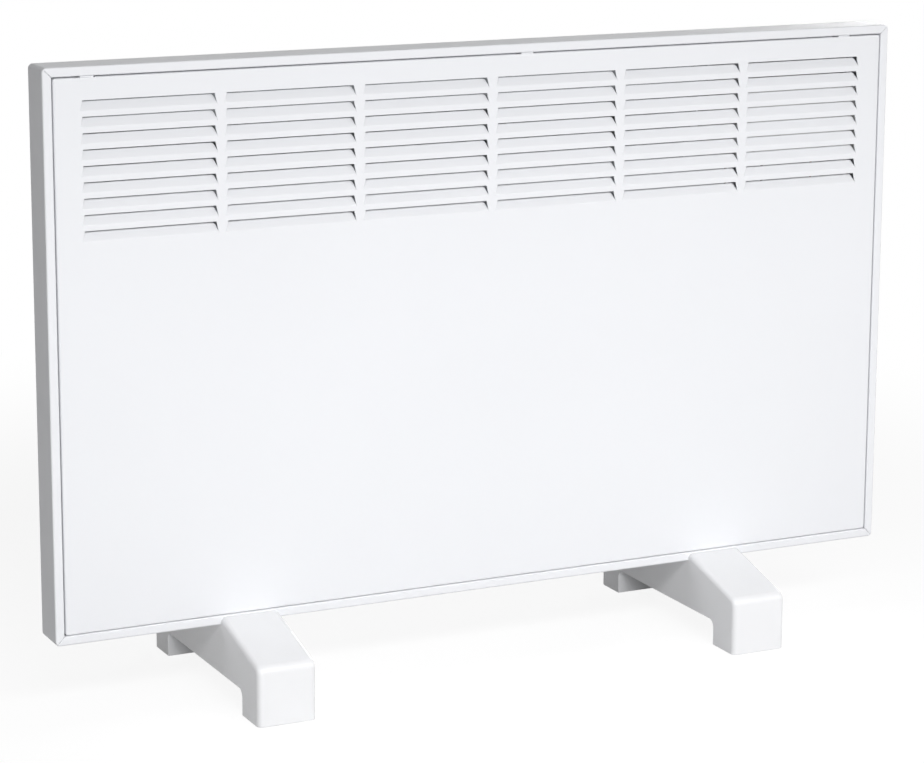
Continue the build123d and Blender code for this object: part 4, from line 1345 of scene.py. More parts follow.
@dataclass
class RearCover:
    """The pressed box behind the frame: flange, stiffening grooves, wall holes and air inlets."""

    sheet: float = 0.0008
    flange: float = 0.010
    corner_radius: float = 0.006
    fold_radius: float = 0.0024
    foot_radius: float = 0.001
    swage_length: float = 0.52
    swage_width: float = 0.012
    swage_corner: float = 0.004
    swage_top: float = 0.348
    swage_pitch: float = 0.08
    swage_count: int = 3
    wall_hole: float = 0.0055
    wall_span_x: float = 0.45
    wall_span_z: float = 0.25
    inlet_length: float = 0.06
    inlet_width: float = 0.004
    inlet_corner: float = 0.0014
    inlet_pitch: float = 0.072
    inlet_row_pitch: float = 0.009
    inlet_setback: float = 0.0205
    plate_lap_side: float = 0.003
    plate_lap_end: float = 0.009
    corner_flats: int = 6
    fold_flats: int = 4
    foot_flats: int = 3
    swage_flats: int = 5
    swage_steps: tuple[Pair, ...] = (
        (0.0004, 0.0001), (0.0005, 0.0005), (0.0005, 0.0005), (0.0004, 0.0003), (0.0006, 0.0001))
    hole_flats: int = 6
    inlet_flats: int = 3

    def __post_init__(self) -> None:
        """Reads the cover's place from its solid."""
        self.low, self.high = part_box("rear_cover")
        inset = Vector((self.flange, self.sheet, self.flange))
        self.box_low = self.low + inset
        self.box_high = self.high - Vector((self.flange, 0, self.flange))
        self.middle_z = (self.low.z + self.high.z) / 2

    def pressed_box(self) -> Mesh:
        """The box with its rounded corners and its outward flange.

        Returns:
            A mesh of the cover's outer skin.
        """
        bm = block(self.box_low, self.box_high)
        round_off(bm, edges_along(bm, Y), self.corner_radius, self.corner_flats)
        round_off(bm, edges_on(bm, Y, self.high.y), self.fold_radius, self.fold_flats)
        front = faces_where(bm, lambda face: on_plane(face.verts, Y, self.box_low.y))
        ring = list({edge for face in front for edge in face.edges})
        bmesh.ops.delete(bm, geom=front, context="FACES_ONLY")
        step_ring(bm, ring, Way.BACK, self.flange, 0.0)
        round_off(bm, ring, self.foot_radius, self.foot_flats)
        return bm

    def inlets(self) -> list[Vector]:
        """Middles of the air inlets, clear of the feet and of the cord inlet.

        Returns:
            The middles, from left to right.
        """
        foot_low, foot_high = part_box("foot_right")
        gland_low, gland_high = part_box("cable_gland")
        reach = self.box_high.x - self.corner_radius - self.inlet_length / 2
        count = int(reach / self.inlet_pitch)
        half = self.inlet_length / 2
        places = []
        for x in (step * self.inlet_pitch for step in range(-count, count + 1)):
            over_foot = foot_low.x - half < abs(x) < foot_high.x + half
            at_gland = gland_low.x - half - self.inlet_width < x < gland_high.x + half + self.inlet_width
            if over_foot or at_gland:
                continue
            for row in (-1, 0, 1):
                y = self.high.y - self.inlet_setback + row * self.inlet_row_pitch
                places.append(Vector((x, y, self.box_low.z)))
        return places

    def build(self) -> Piece:
        """Builds the cover.

        Returns:
            The cover's piece.
        """
        bm = self.pressed_box()
        for step in range(self.swage_count):
            centre = Vector((0, self.high.y, self.swage_top - step * self.swage_pitch))
            groove = Outline(Way.BACK, centre, self.swage_length, self.swage_width, self.swage_corner,
                             self.swage_flats)
            groove.press(bm, self.swage_steps)
        hole = self.wall_hole
        for side in (-1, 1):
            for level in (-1, 1):
                centre = Vector((side * self.wall_span_x / 2, self.high.y,
                                 self.middle_z + level * self.wall_span_z / 2))
                Outline(Way.BACK, centre, hole, hole, hole / 2, self.hole_flats).open(bm)
        plate_low, plate_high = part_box("control_plate")
        behind_plate = (plate_low + plate_high) / 2
        behind_plate.x = self.box_high.x
        Outline(Way.RIGHT, behind_plate, plate_high.y - plate_low.y - 2 * self.plate_lap_side,
                plate_high.z - plate_low.z - 2 * self.plate_lap_end).open(bm)
        for centre in self.inlets():
            Outline(Way.DOWN, centre, self.inlet_length, self.inlet_width, self.inlet_corner,
                    self.inlet_flats).open(bm)
        bmesh.ops.recalc_face_normals(bm, faces=bm.faces)
        if sum(face.normal.y * face.calc_area() for face in bm.faces) < 0:
            bmesh.ops.reverse_faces(bm, faces=bm.faces)
        piece = place_piece("rear_cover_pressing", bm, WHITE_PAINT, replaces=["rear_cover"])
        Sheet(self.sheet).thicken(piece)
        return piece


# ---- screws ----

@dataclass
class PanScrews:
    """A group of equal pan-head screws with cross recesses."""

    node: str
    way: Way
    seats: tuple[Vector, ...]
    length: float
    head_radius: float = 0.0032
    head_height: float = 0.002
    shank_radius: float = 0.00145
    point: float = 0.0008
    point_taper: float = 0.6
    steps: int = 28
    head_profile: tuple[Pair, ...] = (
        (0.97, 0.0), (1.0, 0.1), (1.0, 0.5), (0.95, 0.72), (0.84, 0.9), (0.62, 1.0))
    arm_reach: float = 0.5
    arm_width: float = 0.13
    recess_taper: float = 0.72
    recess_depth: float = 0.6
    turn: float = math.radians(37.0)

    def blank(self) -> Mesh:
        """One screw that stands on the origin with its head up.

        Returns:
            A new mesh that holds the screw.
        """
        shank = self.shank_radius
        profile = [(shank * self.point_taper, -self.length), (shank, self.point - self.length), (shank, 0.0)]
        profile += [(self.head_radius * reach, self.head_height * level)
                    for reach, level in self.head_profile]
        bm = turned(profile, Matrix(), self.steps)
        cap_ends(bm)
        return bm

    def sink_cross(self, bm: Mesh) -> None:
        """Sinks the cross recess into the head.

        Args:
            bm: the screw's mesh.
        """
        arm = self.head_radius * self.arm_reach
        half = self.head_radius * self.arm_width
        height = self.head_height

        def on_top(face: Face) -> bool:
            """Whether a face lies in the head's flat top."""
            return on_plane(face.verts, Z, height)

        for normal in (Way.RIGHT, Way.BACK):
            for offset in (-arm, -half, half, arm):
                cut(bm, faces_where(bm, on_top), offset * normal.value, normal.value)

        def in_cross(face: Face) -> bool:
            """Whether a face lies in one of the cross's two arms."""
            middle = face.calc_center_median()
            near, far = sorted((abs(middle.x), abs(middle.y)))
            return on_top(face) and near < half and far < arm

        cross = faces_where(bm, in_cross)
        moved = bmesh.ops.extrude_face_region(bm, geom=cross)["geom"]
        bmesh.ops.delete(bm, geom=cross, context="FACES")
        verts = only(Vert, moved)
        bmesh.ops.scale(bm, verts=verts, vec=Vector((self.recess_taper, self.recess_taper, 1)))
        bmesh.ops.translate(bm, verts=verts, vec=Vector((0, 0, -self.recess_depth * height)))

    def build(self) -> Piece:
        """Builds the screws, each turned to an angle of its own.

        Returns:
            The screws' piece.
        """
        bm = self.blank()
        self.sink_cross(bm)
        turns = (Matrix.Rotation(self.turn * step, 4, "Z") for step in range(len(self.seats)))
        repeated(bm, [facing(self.way, seat) @ turn for seat, turn in zip(self.seats, turns)])
        return place_piece(self.node + "_turned", bm, ZINC, replaces=[self.node])


def cover_screws(spread: float = 0.294) -> PanScrews:
    """The screws round the rear cover's flange.

    Args:
        spread: how far the outer screws of a row stand from its middle.

    Returns:
        The screws.
    """
    low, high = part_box("rear_cover_screws")
    head = PanScrews.head_radius
    seat_y = high.y - PanScrews.head_height
    rows = [(x, z) for z in (low.z + head, high.z - head) for x in (-spread, 0.0, spread)]
    sides = [(x, (low.z + high.z) / 2) for x in (low.x + head, high.x - head)]
    seats = tuple(Vector((x, seat_y, z)) for x, z in (*rows, *sides))
    return PanScrews("rear_cover_screws", Way.BACK, seats, seat_y - low.y)


def plate_screws() -> PanScrews:
    """The two screws of the control plate.

    Returns:
        The screws.
    """
    low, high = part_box("control_plate_screws")
    head = PanScrews.head_radius
    seat_x = high.x - PanScrews.head_height
    seats = tuple(Vector((seat_x, (low.y + high.y) / 2, z)) for z in (low.z + head, high.z - head))
    return PanScrews("control_plate_screws", Way.RIGHT, seats, seat_x - low.x)


# ---- controls ----

@dataclass
class ControlPlate:
    """The moulded plate on the right side, with its openings and the dial's printed scale."""

    corner_radius: float = 0.003
    edge_radius: float = 0.0005
    thickness: float = 0.002
    bush_hole: float = 0.0106
    lens_hole: float = 0.0065
    switch_hole: Pair = (0.0131, 0.0195)
    hole_flats: int = 6
    edge_flats: int = 3
    soft_angle: float = math.radians(60.0)
    print_height: float = 0.00012
    tick_inner: float = 0.0142
    tick_length: float = 0.0014
    tick_width: float = 0.0004
    number_radius: float = 0.0181
    number_size: float = 0.0042
    steps: int = 7
    step_angle: float = math.radians(45.0)

    def __post_init__(self) -> None:
        """Reads the plate's place and the dial's from their solids."""
        self.low, self.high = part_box("control_plate")
        knob_low, knob_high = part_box("thermostat_knob")
        self.dial = Vector((self.high.x, (knob_low.y + knob_high.y) / 2, (knob_low.z + knob_high.z) / 2))

    def plate(self) -> Piece:
        """Builds the plate.

        Returns:
            The plate's piece.
        """
        centre = (self.low + self.high) / 2
        centre.x = self.high.x
        bm = bmesh.new()
        outline = Outline(Way.RIGHT, centre, self.high.y - self.low.y, self.high.z - self.low.z,
                          self.corner_radius, self.hole_flats)
        bmesh.ops.contextual_create(bm, geom=outline.draw(bm))
        for part, hole in ((self.dial, self.bush_hole), (PilotLens().centre, self.lens_hole)):
            place = Vector((self.high.x, part.y, part.z))
            Outline(Way.RIGHT, place, hole, hole, hole / 2, self.hole_flats).open(bm)
        pivot = SwitchRocker().pivot
        Outline(Way.RIGHT, Vector((self.high.x, pivot.y, pivot.z)), *self.switch_hole).clear(bm)
        bmesh.ops.recalc_face_normals(bm, faces=bm.faces)
        if bm.faces and next(iter(bm.faces)).normal.x < 0:
            bmesh.ops.reverse_faces(bm, faces=bm.faces)
        piece = place_piece("control_plate_moulding", bm, CONTROL_WHITE, replaces=["control_plate"])
        Sheet(self.thickness).thicken(piece)
        soften = piece.modifiers.new("soft edges", "BEVEL")
        soften.width = self.edge_radius
        soften.segments = self.edge_flats
        soften.limit_method = "ANGLE"
        soften.angle_limit = self.soft_angle
        piece.modifiers.move(piece.modifiers.find(soften.name), 1)
        return piece

    def place_on_dial(self, angle: float, radius: float) -> Vector:
        """A place on the plate, at a clockwise angle from the top and a distance from the dial's middle."""
        return self.dial + Vector((0, radius * math.sin(angle), radius * math.cos(angle)))

    def number(self, digits: str, place: Vector) -> Mesh:
        """A printed number.

        Args:
            digits: the number.
            place: its middle on the plate.

        Returns:
            A new mesh that holds the number.
        """
        curve = bpy.data.curves.new("number", "FONT")
        curve.body = digits
        curve.size = self.number_size
        curve.align_x = "CENTER"
        curve.align_y = "CENTER"
        curve.extrude = self.print_height / 2
        curve.resolution_u = 3
        text = bpy.data.objects.new("number", curve)
        mesh = bpy.data.meshes.new_from_object(text)
        bm = bmesh.new()
        bm.from_mesh(mesh)
        bpy.data.objects.remove(text)
        bpy.data.curves.remove(curve)
        bpy.data.meshes.remove(mesh)
        bmesh.ops.remove_doubles(bm, verts=bm.verts, dist=WELD)
        middle = place + Vector((self.print_height / 2, 0, 0))
        bmesh.ops.transform(bm, matrix=Matrix.Translation(middle) @ SIDE_ON, verts=bm.verts)
        return bm

    def scale(self) -> Piece:
        """Prints the dial's scale: a tick at every step and a number where the plate has room.

        Returns:
            The printed scale's piece.
        """
        size = Vector((self.print_height, self.tick_width, self.tick_length))
        prints = []
        for step in range(self.steps):
            angle = step * self.step_angle
            tick = block(Vector((0, -size.y / 2, 0)), Vector((size.x, size.y / 2, size.z)))
            turn = Matrix.Rotation(-angle, 4, "X")
            bmesh.ops.transform(tick, verts=tick.verts,
                                matrix=Matrix.Translation(self.place_on_dial(angle, self.tick_inner)) @ turn)
            prints.append(tick)
            if step % 2:
                prints.append(self.number(str(step), self.place_on_dial(angle, self.number_radius)))
        return place_piece("dial_scale", joined(prints), CONTROL_GREY)


@dataclass
class ThermostatKnob:
    """A tapered knob with a fluted skirt, a raised finger bar and a pointer line."""

    radius: float = 0.0135
    skirt_height: float = 0.0047
    height: float = 0.0105
    taper: float = math.radians(8.0)
    flutes: int = 24
    flute_depth: float = 0.00035
    bar_width: float = 0.006
    bar_inset: float = 0.0019
    line_width: float = 0.0009
    bore: float = 0.004
    foot_round: float = 0.0004
    skirt_round: float = 0.0009
    skirt_flats: int = 4
    flute_flats: int = 8
    flute_reach: float = 1.2
    crown_share: float = 0.8
    crown_rise: float = 0.0001
    crown_hole: float = 0.003
    bar_sink: float = 0.001
    bar_round: float = 0.0022
    bar_flats: int = 6
    bar_edge: float = 0.001
    bar_edge_flats: int = 5
    line_height: float = 0.00012
    line_sink: float = 0.0002
    line_span: Pair = (0.3, 0.88)
    line_round: float = 0.00008
    line_flats: int = 2

    def __post_init__(self) -> None:
        """Reads the knob's place from its solid."""
        self.low, self.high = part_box("thermostat_knob")
        self.foot = Vector((self.low.x, (self.low.y + self.high.y) / 2, (self.low.z + self.high.z) / 2))

    def skirt(self) -> Mesh:
        """The fluted skirt, standing on the origin.

        Returns:
            A new mesh that holds the skirt.
        """
        top = self.radius - self.skirt_height * math.tan(self.taper)
        edge = self.skirt_round
        height = self.skirt_height
        profile = [(self.bore, 0.0), (self.radius - self.foot_round, 0.0), (self.radius, self.foot_round)]
        profile += [(top - edge * (1 - cosine), height - edge * (1 - sine))
                    for sine, cosine in quarter_round(self.skirt_flats)]
        profile += [(top * self.crown_share, height + self.crown_rise),
                    (self.crown_hole, height + 2 * self.crown_rise)]
        bm = turned(profile, Matrix(), self.flutes * self.flute_flats)
        fluted_from = top - edge * self.flute_reach
        for vert in bm.verts:
            reach = math.hypot(vert.co.x, vert.co.y)
            if reach > fluted_from:
                wave = 0.5 - 0.5 * math.cos(self.flutes * math.atan2(vert.co.y, vert.co.x))
                pull_in(vert, self.flute_depth * wave ** 2 * min((reach - fluted_from) / edge, 1.0))
        cap_ends(bm)
        return bm

    def bar(self) -> Mesh:
        """The finger bar, across the skirt and in line with the pointer.

        Returns:
            A new mesh that holds the bar.
        """
        reach = self.radius - self.bar_inset
        bm = block(Vector((-self.bar_width / 2, -reach, self.skirt_height - self.bar_sink)),
                   Vector((self.bar_width / 2, reach, self.height)))
        round_off(bm, edges_along(bm, Z), self.bar_round, self.bar_flats)
        round_off(bm, edges_on(bm, Z, self.height), self.bar_edge, self.bar_edge_flats)
        return bm

    def build(self) -> None:
        """Builds the knob and its pointer line, both riding on the dial."""
        place = facing(Way.RIGHT, self.foot)
        bm = joined([self.skirt(), self.bar()])
        bmesh.ops.transform(bm, matrix=place, verts=bm.verts)
        place_piece("thermostat_knob_moulding", bm, CONTROL_GREY, Body.DIAL, ["thermostat_knob"])
        reach = self.radius - self.bar_inset
        face = self.low.x + self.height
        half = self.line_width / 2
        top = face + self.line_height
        start, end = (self.foot.z + reach * share for share in self.line_span)
        line = block(Vector((face - self.line_sink, self.foot.y - half, start)),
                     Vector((top, self.foot.y + half, end)))
        round_off(line, edges_on(line, X, top), self.line_round, self.line_flats)
        place_piece("pointer_line", line, CONTROL_WHITE, Body.DIAL)


@dataclass
class SwitchRocker:
    """The rocker of the power switch, dished along its length, with its on and off marks."""

    length: float = 0.015
    width: float = 0.0086
    tip: float = 0.003
    dip: float = 0.0026
    belly: float = 0.0018
    belly_length: float = 0.0082
    angle: float = math.radians(9.0)
    mark_height: float = 0.00012
    mark_size: float = 0.0024
    pivot_depth: float = 0.0006
    dish_steps: int = 4
    rim_level: float = 0.002
    rim_round: float = 0.0003
    rim_flats: int = 3
    mark_reach: float = 0.3
    mark_sink: float = 0.0002
    mark_line: float = 0.0005
    ring_line: float = 0.0004
    ring_flats: int = 24

    def __post_init__(self) -> None:
        """Reads the pivot's place from the switch's solid and the control plate's."""
        low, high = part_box("power_switch_body")
        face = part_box("control_plate")[1].x
        self.pivot = Vector((face - self.pivot_depth, (low.y + high.y) / 2, (low.z + high.z) / 2))

    def profile(self) -> list[Pair]:
        """The rocker's outline from the side.

        Returns:
            The (Y, Z) points of a prism that is turned later.
        """
        half = self.length / 2
        belly = self.belly_length / 2
        shares = [1 - step / self.dish_steps for step in range(2 * self.dish_steps + 1)]
        dished = [(half * share, self.level(share)) for share in shares]
        return [*dished, (-belly, -self.belly), (belly, -self.belly)]

    def level(self, share: float) -> float:
        """Height of the dished top at a share of the way to its tip."""
        return self.dip + (self.tip - self.dip) * share ** 2

    def on_rim(self, edge: Edge) -> bool:
        """Whether an edge runs along the top's long sides or its ends.

        Args:
            edge: an edge of the paddle.

        Returns:
            True where it does.
        """
        at_end = any(on_plane(edge.verts, Y, y) for y in (-self.length / 2, self.length / 2))
        upper = max(vert.co.z for vert in edge.verts) > self.rim_level
        return upper and (at_end or span_of(edge, X) < HAIR)

    def build(self) -> None:
        """Builds the rocker and its marks, both riding on the rocker's body."""
        place = Matrix.Translation(self.pivot) @ Matrix.Rotation(self.angle, 4, "Y") @ SIDE_ON
        paddle = prism(self.profile(), -self.width / 2, self.width / 2)
        round_off(paddle, edges_where(paddle, self.on_rim), self.rim_round, self.rim_flats)
        bmesh.ops.transform(paddle, matrix=place, verts=paddle.verts)
        place_piece("power_rocker_moulding", paddle, BLACK_PLASTIC, Body.ROCKER, ["power_rocker"])
        reach = self.length * self.mark_reach
        level = self.level(2 * self.mark_reach)
        outer = self.mark_size / 2
        inner = outer - self.ring_line
        low, high = -self.mark_sink, self.mark_height
        bar = block(Vector((-self.mark_line / 2, reach - outer, level + low)),
                    Vector((self.mark_line / 2, reach + outer, level + high)))
        corners = [(inner, low), (outer, low), (outer, high), (inner, high), (inner, low)]
        ring = turned(corners, Matrix.Translation((0, -reach, level)), self.ring_flats)
        marks = joined([bar, ring])
        bmesh.ops.transform(marks, matrix=place, verts=marks.verts)
        place_piece("rocker_marks", marks, CONTROL_WHITE, Body.ROCKER)


@dataclass
class PilotLens:
    """The pilot lamp's domed lens with a stepped ring round it."""

    lens_radius: float = 0.003
    collar: float = 0.0009
    rise: float = 0.0018
    collar_side: float = 0.35
    collar_top: float = 0.5
    collar_bevel: float = 0.0003
    dome_flats: int = 8

    def __post_init__(self) -> None:
        """Reads the lamp's place from its solid."""
        self.low, self.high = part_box("pilot_lamp")
        self.centre = (self.low + self.high) / 2
        self.centre.x = self.high.x - self.rise

    def build(self) -> Piece:
        """Builds the lens.

        Returns:
            The lens's piece.
        """
        outer = self.lens_radius + self.collar
        depth = self.centre.x - self.low.x
        top = self.rise * self.collar_top
        profile = [(0.0, -depth), (self.lens_radius, -depth), (self.lens_radius, 0.0), (outer, 0.0),
                   (outer, self.rise * self.collar_side), (outer - self.collar_bevel, top),
                   (self.lens_radius, top)]
        profile += [(self.lens_radius * cosine, top + (self.rise - top) * sine)
                    for sine, cosine in quarter_round(self.dome_flats)]
        bm = turned(profile, facing(Way.RIGHT, self.centre))
        return place_piece("pilot_lens", bm, AMBER, replaces=["pilot_lamp"])


@dataclass
class CordInlet:
    """The gland in the underside: a fluted collar with a rounded mouth."""

    bore: float = 0.00375
    thread_radius: float = 0.006
    collar_radius: float = 0.009
    collar: float = 0.004
    flutes: int = 16
    flute_flats: int = 4
    flute_depth: float = 0.0005
    flute_slack: float = 1e-5
    lip: float = 0.001
    lip_flats: int = 4
    lip_share: float = 0.3
    thread_start: float = 0.0005
    thread_pitch: float = 0.0012
    thread_depth: float = 0.0004

    def build(self) -> Piece:
        """Builds the gland.

        Returns:
            The gland's piece.
        """
        low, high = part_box("cable_gland")
        height = high.z - low.z
        lip = self.lip
        cut_back = lip * self.lip_share
        mouth = [(self.bore + lip * (1 - sine), lip * (1 - cosine))
                 for sine, cosine in quarter_round(self.lip_flats)]
        profile = [(self.bore, height), *reversed(mouth), (self.collar_radius - lip, 0.0),
                   (self.collar_radius - cut_back, cut_back), (self.collar_radius, lip),
                   (self.collar_radius, self.collar), (self.thread_radius, self.collar)]
        ridge = self.collar + self.thread_start
        while ridge + self.thread_pitch < height:
            profile += [(self.thread_radius - self.thread_depth, ridge),
                        (self.thread_radius, ridge + self.thread_pitch / 2)]
            ridge += self.thread_pitch
        profile += [(self.thread_radius, height), (self.bore, height)]
        bm = turned(profile, Matrix(), self.flutes * self.flute_flats)
        for vert in bm.verts:
            if math.hypot(vert.co.x, vert.co.y) > self.collar_radius - self.flute_slack:
                notch = max(math.cos(self.flutes * math.atan2(vert.co.y, vert.co.x)), 0.0)
                pull_in(vert, self.flute_depth * notch)
        centre = Vector(((low.x + high.x) / 2, (low.y + high.y) / 2, low.z))
        bmesh.ops.transform(bm, matrix=Matrix.Translation(centre), verts=bm.verts)
        return place_piece("cable_gland_moulding", bm, BLACK_PLASTIC, replaces=["cable_gland"])


# ---- solids that keep their shape ----

@dataclass
class DressedSolids:
    """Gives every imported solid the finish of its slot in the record."""

    def dress(self) -> None:
        """Puts each finish on the solids of its slot."""
        by_slot = {finish.slot: finish for finish in FINISHES}
        for part in frame["record"]["subparts"]:
            solid = frame["nodes"][part["node"]]
            finish = by_slot[part["material_slot"]]
            solid.data.materials.clear()
            solid.data.materials.append(finish.material())
        LOG.info("dressed %d solids", len(frame["nodes"]))


# ---- studio ----

@dataclass(frozen=True)
class FarLamp:
    """A far, soft lamp, whose light falls the same way everywhere."""

    name: str
    azimuth: float
    elevation: float
    power: float
    spread: float = math.radians(14.0)
    distance: float = 2.5

    def hang(self) -> None:
        """Adds the lamp; an azimuth of 0 is in front of the heater, and 90 degrees on its right."""
        data = bpy.data.lights.new(self.name, "SUN")
        data.energy = self.power
        data.angle = self.spread
        lamp = stage_item(self.name, data)
        level = math.cos(self.elevation)
        back = Vector((math.sin(self.azimuth) * level, -math.cos(self.azimuth) * level,
                       math.sin(self.elevation)))
        turn = back.to_track_quat("Z", "Y").to_matrix().to_4x4()
        lamp.matrix_world = Matrix.Translation(self.distance * back) @ turn


@dataclass(frozen=True)
class StripBox:
    """A long soft box near the heater, aimed at a place on it."""

    name: str
    place: tuple[float, float, float]
    target: tuple[float, float, float]
    width: float
    height: float
    power: float
    spread: float = math.pi

    def hang(self) -> None:
        """Adds the soft box, which no camera sees."""
        data = bpy.data.lights.new(self.name, "AREA")
        data.shape = "RECTANGLE"
        data.size = self.width
        data.size_y = self.height
        data.energy = self.power
        data.spread = self.spread
        lamp = stage_item(self.name, data)
        lamp.visible_camera = False
        back = Vector(self.place) - Vector(self.target)
        turn = back.to_track_quat("Z", "Y").to_matrix().to_4x4()
        lamp.matrix_world = Matrix.Translation(self.place) @ turn


@dataclass
class Studio:
    """Floor, background, lamps and camera."""

    image_width: int = 924
    focal_pixels: float = 3035.5
    camera_place: tuple[float, float, float] = (-1.0036, -2.0510, 0.7353)
    camera_yaw: float = 0.4521
    camera_pitch: float = -0.2092
    camera_roll: float = 0.0039
    shift_down: float = -0.05
    floor_size: float = 14.0
    floor_glow: float = 0.88
    floor_tone: float = 0.18
    fade_start: float = 0.5
    fade_end: float = 1.2
    ambient: float = 0.1
    lamps: tuple[FarLamp | StripBox, ...] = (
        FarLamp("front lamp", azimuth=math.radians(-8.0), elevation=math.radians(12.0), power=1.03),
        StripBox("upper strip", place=(-0.05, -0.85, 0.7), target=(-0.05, -0.1, 0.0),
                 width=1.9, height=0.18, power=6.2),
        StripBox("foot strip", place=(0.0, -0.7, 0.62), target=(0.0, -0.1, 0.02),
                 width=1.3, height=0.12, power=0.4, spread=math.radians(70.0)),
        FarLamp("back fill", azimuth=math.radians(132.0), elevation=math.radians(6.0), power=1.6,
                spread=math.radians(30.0)),
    )
    sensor_width: float = 36.0
    view_depth: float = 50.0
    paper_patch: float = 0.4
    paper: tuple[Colour, Colour] = ((0.57, 0.57, 0.57), (0.6, 0.6, 0.6))
    paper_roughness: float = 0.9
    paper_shine: float = 0.1
    sky: Colour = (1.0, 0.99, 0.985)

    def place_camera(self) -> None:
        """Puts the camera where the photograph was taken from."""
        data = bpy.data.cameras.new("camera")
        data.sensor_fit = "HORIZONTAL"
        data.sensor_width = self.sensor_width
        data.lens = self.focal_pixels / self.image_width * data.sensor_width
        data.shift_y = self.shift_down
        data.clip_end = self.view_depth
        camera = stage_item("camera", data)
        sine, cosine = math.sin(self.camera_yaw), math.cos(self.camera_yaw)
        flat = math.cos(self.camera_pitch)
        forward = Vector((sine * flat, cosine * flat, math.sin(self.camera_pitch)))
        level = Vector((cosine, -sine, 0))
        upright = level.cross(forward)
        right = math.cos(self.camera_roll) * level + math.sin(self.camera_roll) * upright
        up = right.cross(forward)
        turn = Matrix((right, up, -forward)).transposed().to_4x4()
        camera.matrix_world = Matrix.Translation(Vector(self.camera_place)) @ turn
        bpy.context.scene.camera = camera

    def lay_floor(self) -> None:
        """Lays a plain pale floor that reads as white paper and keeps the heater's shadow."""
        bm = bmesh.new()
        bmesh.ops.create_grid(bm, x_segments=1, y_segments=1, size=self.floor_size / 2)
        mesh = bpy.data.meshes.new("floor")
        bm.to_mesh(mesh)
        bm.free()
        floor = stage_item("floor", mesh)
        floor.data.materials.append(self.floor_material())

    def floor_material(self) -> Material:
        """Pale matt paper, which reads as white where the camera sees it, but for the heater's shadow.

        Returns:
            The material.
        """
        graph = NodeGraph("studio_paper")
        graph.colour(graph.between(graph.noise(self.paper_patch), *self.paper))
        graph.set("Roughness", self.paper_roughness)
        graph.set("Specular IOR Level", self.paper_shine)
        nodes = graph.tree.nodes
        seen = nodes.new("ShaderNodeBsdfDiffuse")
        seen.inputs["Color"].default_value = (*[self.floor_tone] * 3, 1)
        glow = nodes.new("ShaderNodeEmission")
        glow.inputs["Strength"].default_value = self.floor_glow
        lit = nodes.new("ShaderNodeAddShader")
        graph.link(seen.outputs["BSDF"], lit.inputs[0])
        graph.link(glow.outputs["Emission"], lit.inputs[1])
        white = nodes.new("ShaderNodeEmission")
        white.inputs["Strength"].default_value = 1.0
        paper = self.blend(graph, self.fade(graph), lit.outputs["Shader"], white.outputs["Emission"])
        shown = self.blend(graph, self.seen_directly(graph.tree), graph.shader.outputs["BSDF"], paper)
        graph.link(shown, nodes["Material Output"].inputs["Surface"])
        return graph.material

    def blend(self, graph: NodeGraph, factor: Socket, first: Socket, second: Socket) -> Socket:
        """Blends two shaders.

        Args:
            graph: the material's node tree.
            factor: 0 for the first shader, 1 for the second.
            first: the first shader.
            second: the second shader.

        Returns:
            The blended shader's socket.
        """
        mix = graph.tree.nodes.new("ShaderNodeMixShader")
        graph.link(factor, mix.inputs["Fac"])
        graph.link(first, mix.inputs[1])
        graph.link(second, mix.inputs[2])
        return mix.outputs["Shader"]

    def fade(self, graph: NodeGraph) -> Socket:
        """A value that goes from 0 round the heater to 1 far from it.

        Args:
            graph: the material's node tree.

        Returns:
            The value's socket.
        """
        reach = graph.tree.nodes.new("ShaderNodeVectorMath")
        reach.operation = "LENGTH"
        graph.link(graph.place, reach.inputs[0])
        ramp = graph.tree.nodes.new("ShaderNodeMapRange")
        ramp.interpolation_type = "SMOOTHSTEP"
        ramp.inputs["From Min"].default_value = self.fade_start
        ramp.inputs["From Max"].default_value = self.fade_end
        graph.link(reach.outputs["Value"], ramp.inputs["Value"])
        return ramp.outputs["Result"]

    def seen_directly(self, tree: NodeTree) -> Socket:
        """A value that is 1 for camera, glossy and transmission rays, and 0 for the others.

        Args:
            tree: the node tree.

        Returns:
            The value's socket.
        """
        rays = tree.nodes.new("ShaderNodeLightPath")
        total = rays.outputs["Is Camera Ray"]
        for name in ("Is Glossy Ray", "Is Transmission Ray"):
            larger = tree.nodes.new("ShaderNodeMath")
            larger.operation = "MAXIMUM"
            tree.links.new(total, larger.inputs[0])
            tree.links.new(rays.outputs[name], larger.inputs[1])
            total = larger.outputs["Value"]
        return total

    def set_world(self) -> None:
        """Soft ambient light, with a white background where it is seen directly."""
        world = bpy.data.worlds.new("studio")
        world.use_nodes = True
        tree = world.node_tree
        output = tree.nodes["World Output"]
        soft = tree.nodes["Background"]
        soft.inputs["Color"].default_value = (*self.sky, 1)
        soft.inputs["Strength"].default_value = self.ambient
        white = tree.nodes.new("ShaderNodeBackground")
        white.inputs["Color"].default_value = (1, 1, 1, 1)
        white.inputs["Strength"].default_value = 1.0
        mix = tree.nodes.new("ShaderNodeMixShader")
        tree.links.new(self.seen_directly(tree), mix.inputs["Fac"])
        tree.links.new(soft.outputs["Background"], mix.inputs[1])
        tree.links.new(white.outputs["Background"], mix.inputs[2])
        tree.links.new(mix.outputs["Shader"], output.inputs["Surface"])
        bpy.context.scene.world = world

    def set_up(self) -> None:
        """Sets up the whole studio."""
        self.place_camera()
        self.lay_floor()
        self.set_world()
        for lamp in self.lamps:
            lamp.hang()
        bpy.context.scene.view_settings.view_transform = "Standard"


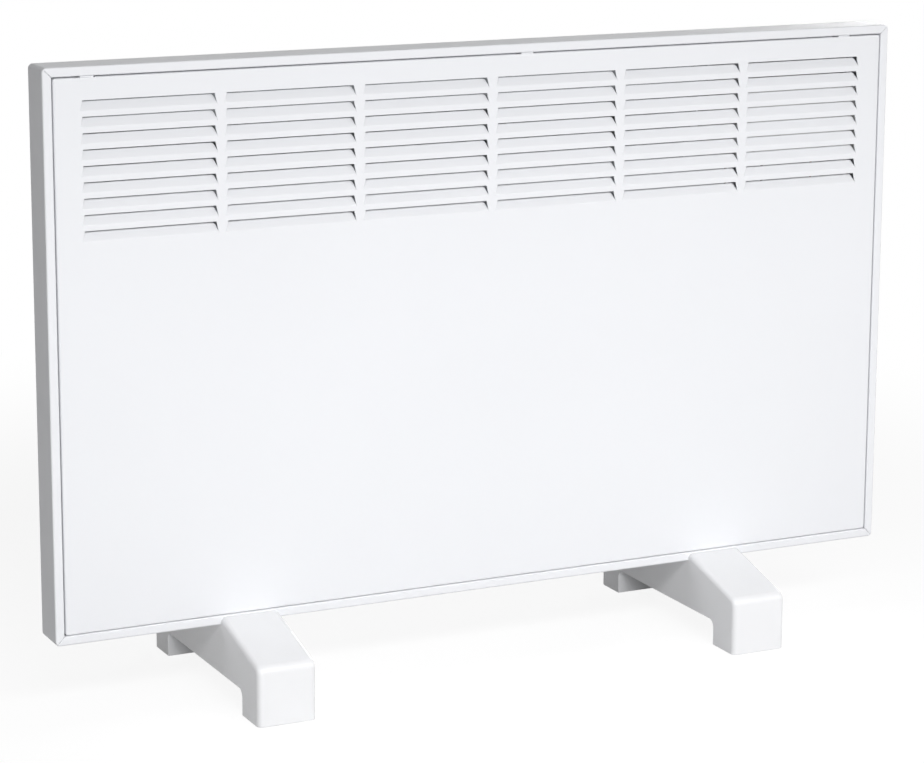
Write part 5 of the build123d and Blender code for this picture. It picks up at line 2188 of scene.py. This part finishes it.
def main() -> None:
    """Builds and dresses the heater, sub-assembly by sub-assembly."""
    logging.basicConfig(level=logging.INFO, format="%(name)s %(message)s")
    Studio().set_up()
    DressedSolids().dress()
    CasingFrame().build()
    FrontPanel().build()
    Foot("foot_left").build()
    Foot("foot_right").build()
    RearCover().build()
    cover_screws().build()
    ControlPlate().plate()
    ControlPlate().scale()
    plate_screws().build()
    ThermostatKnob().build()
    SwitchRocker().build()
    PilotLens().build()
    CordInlet().build()


if __name__ == "__main__":
    main()
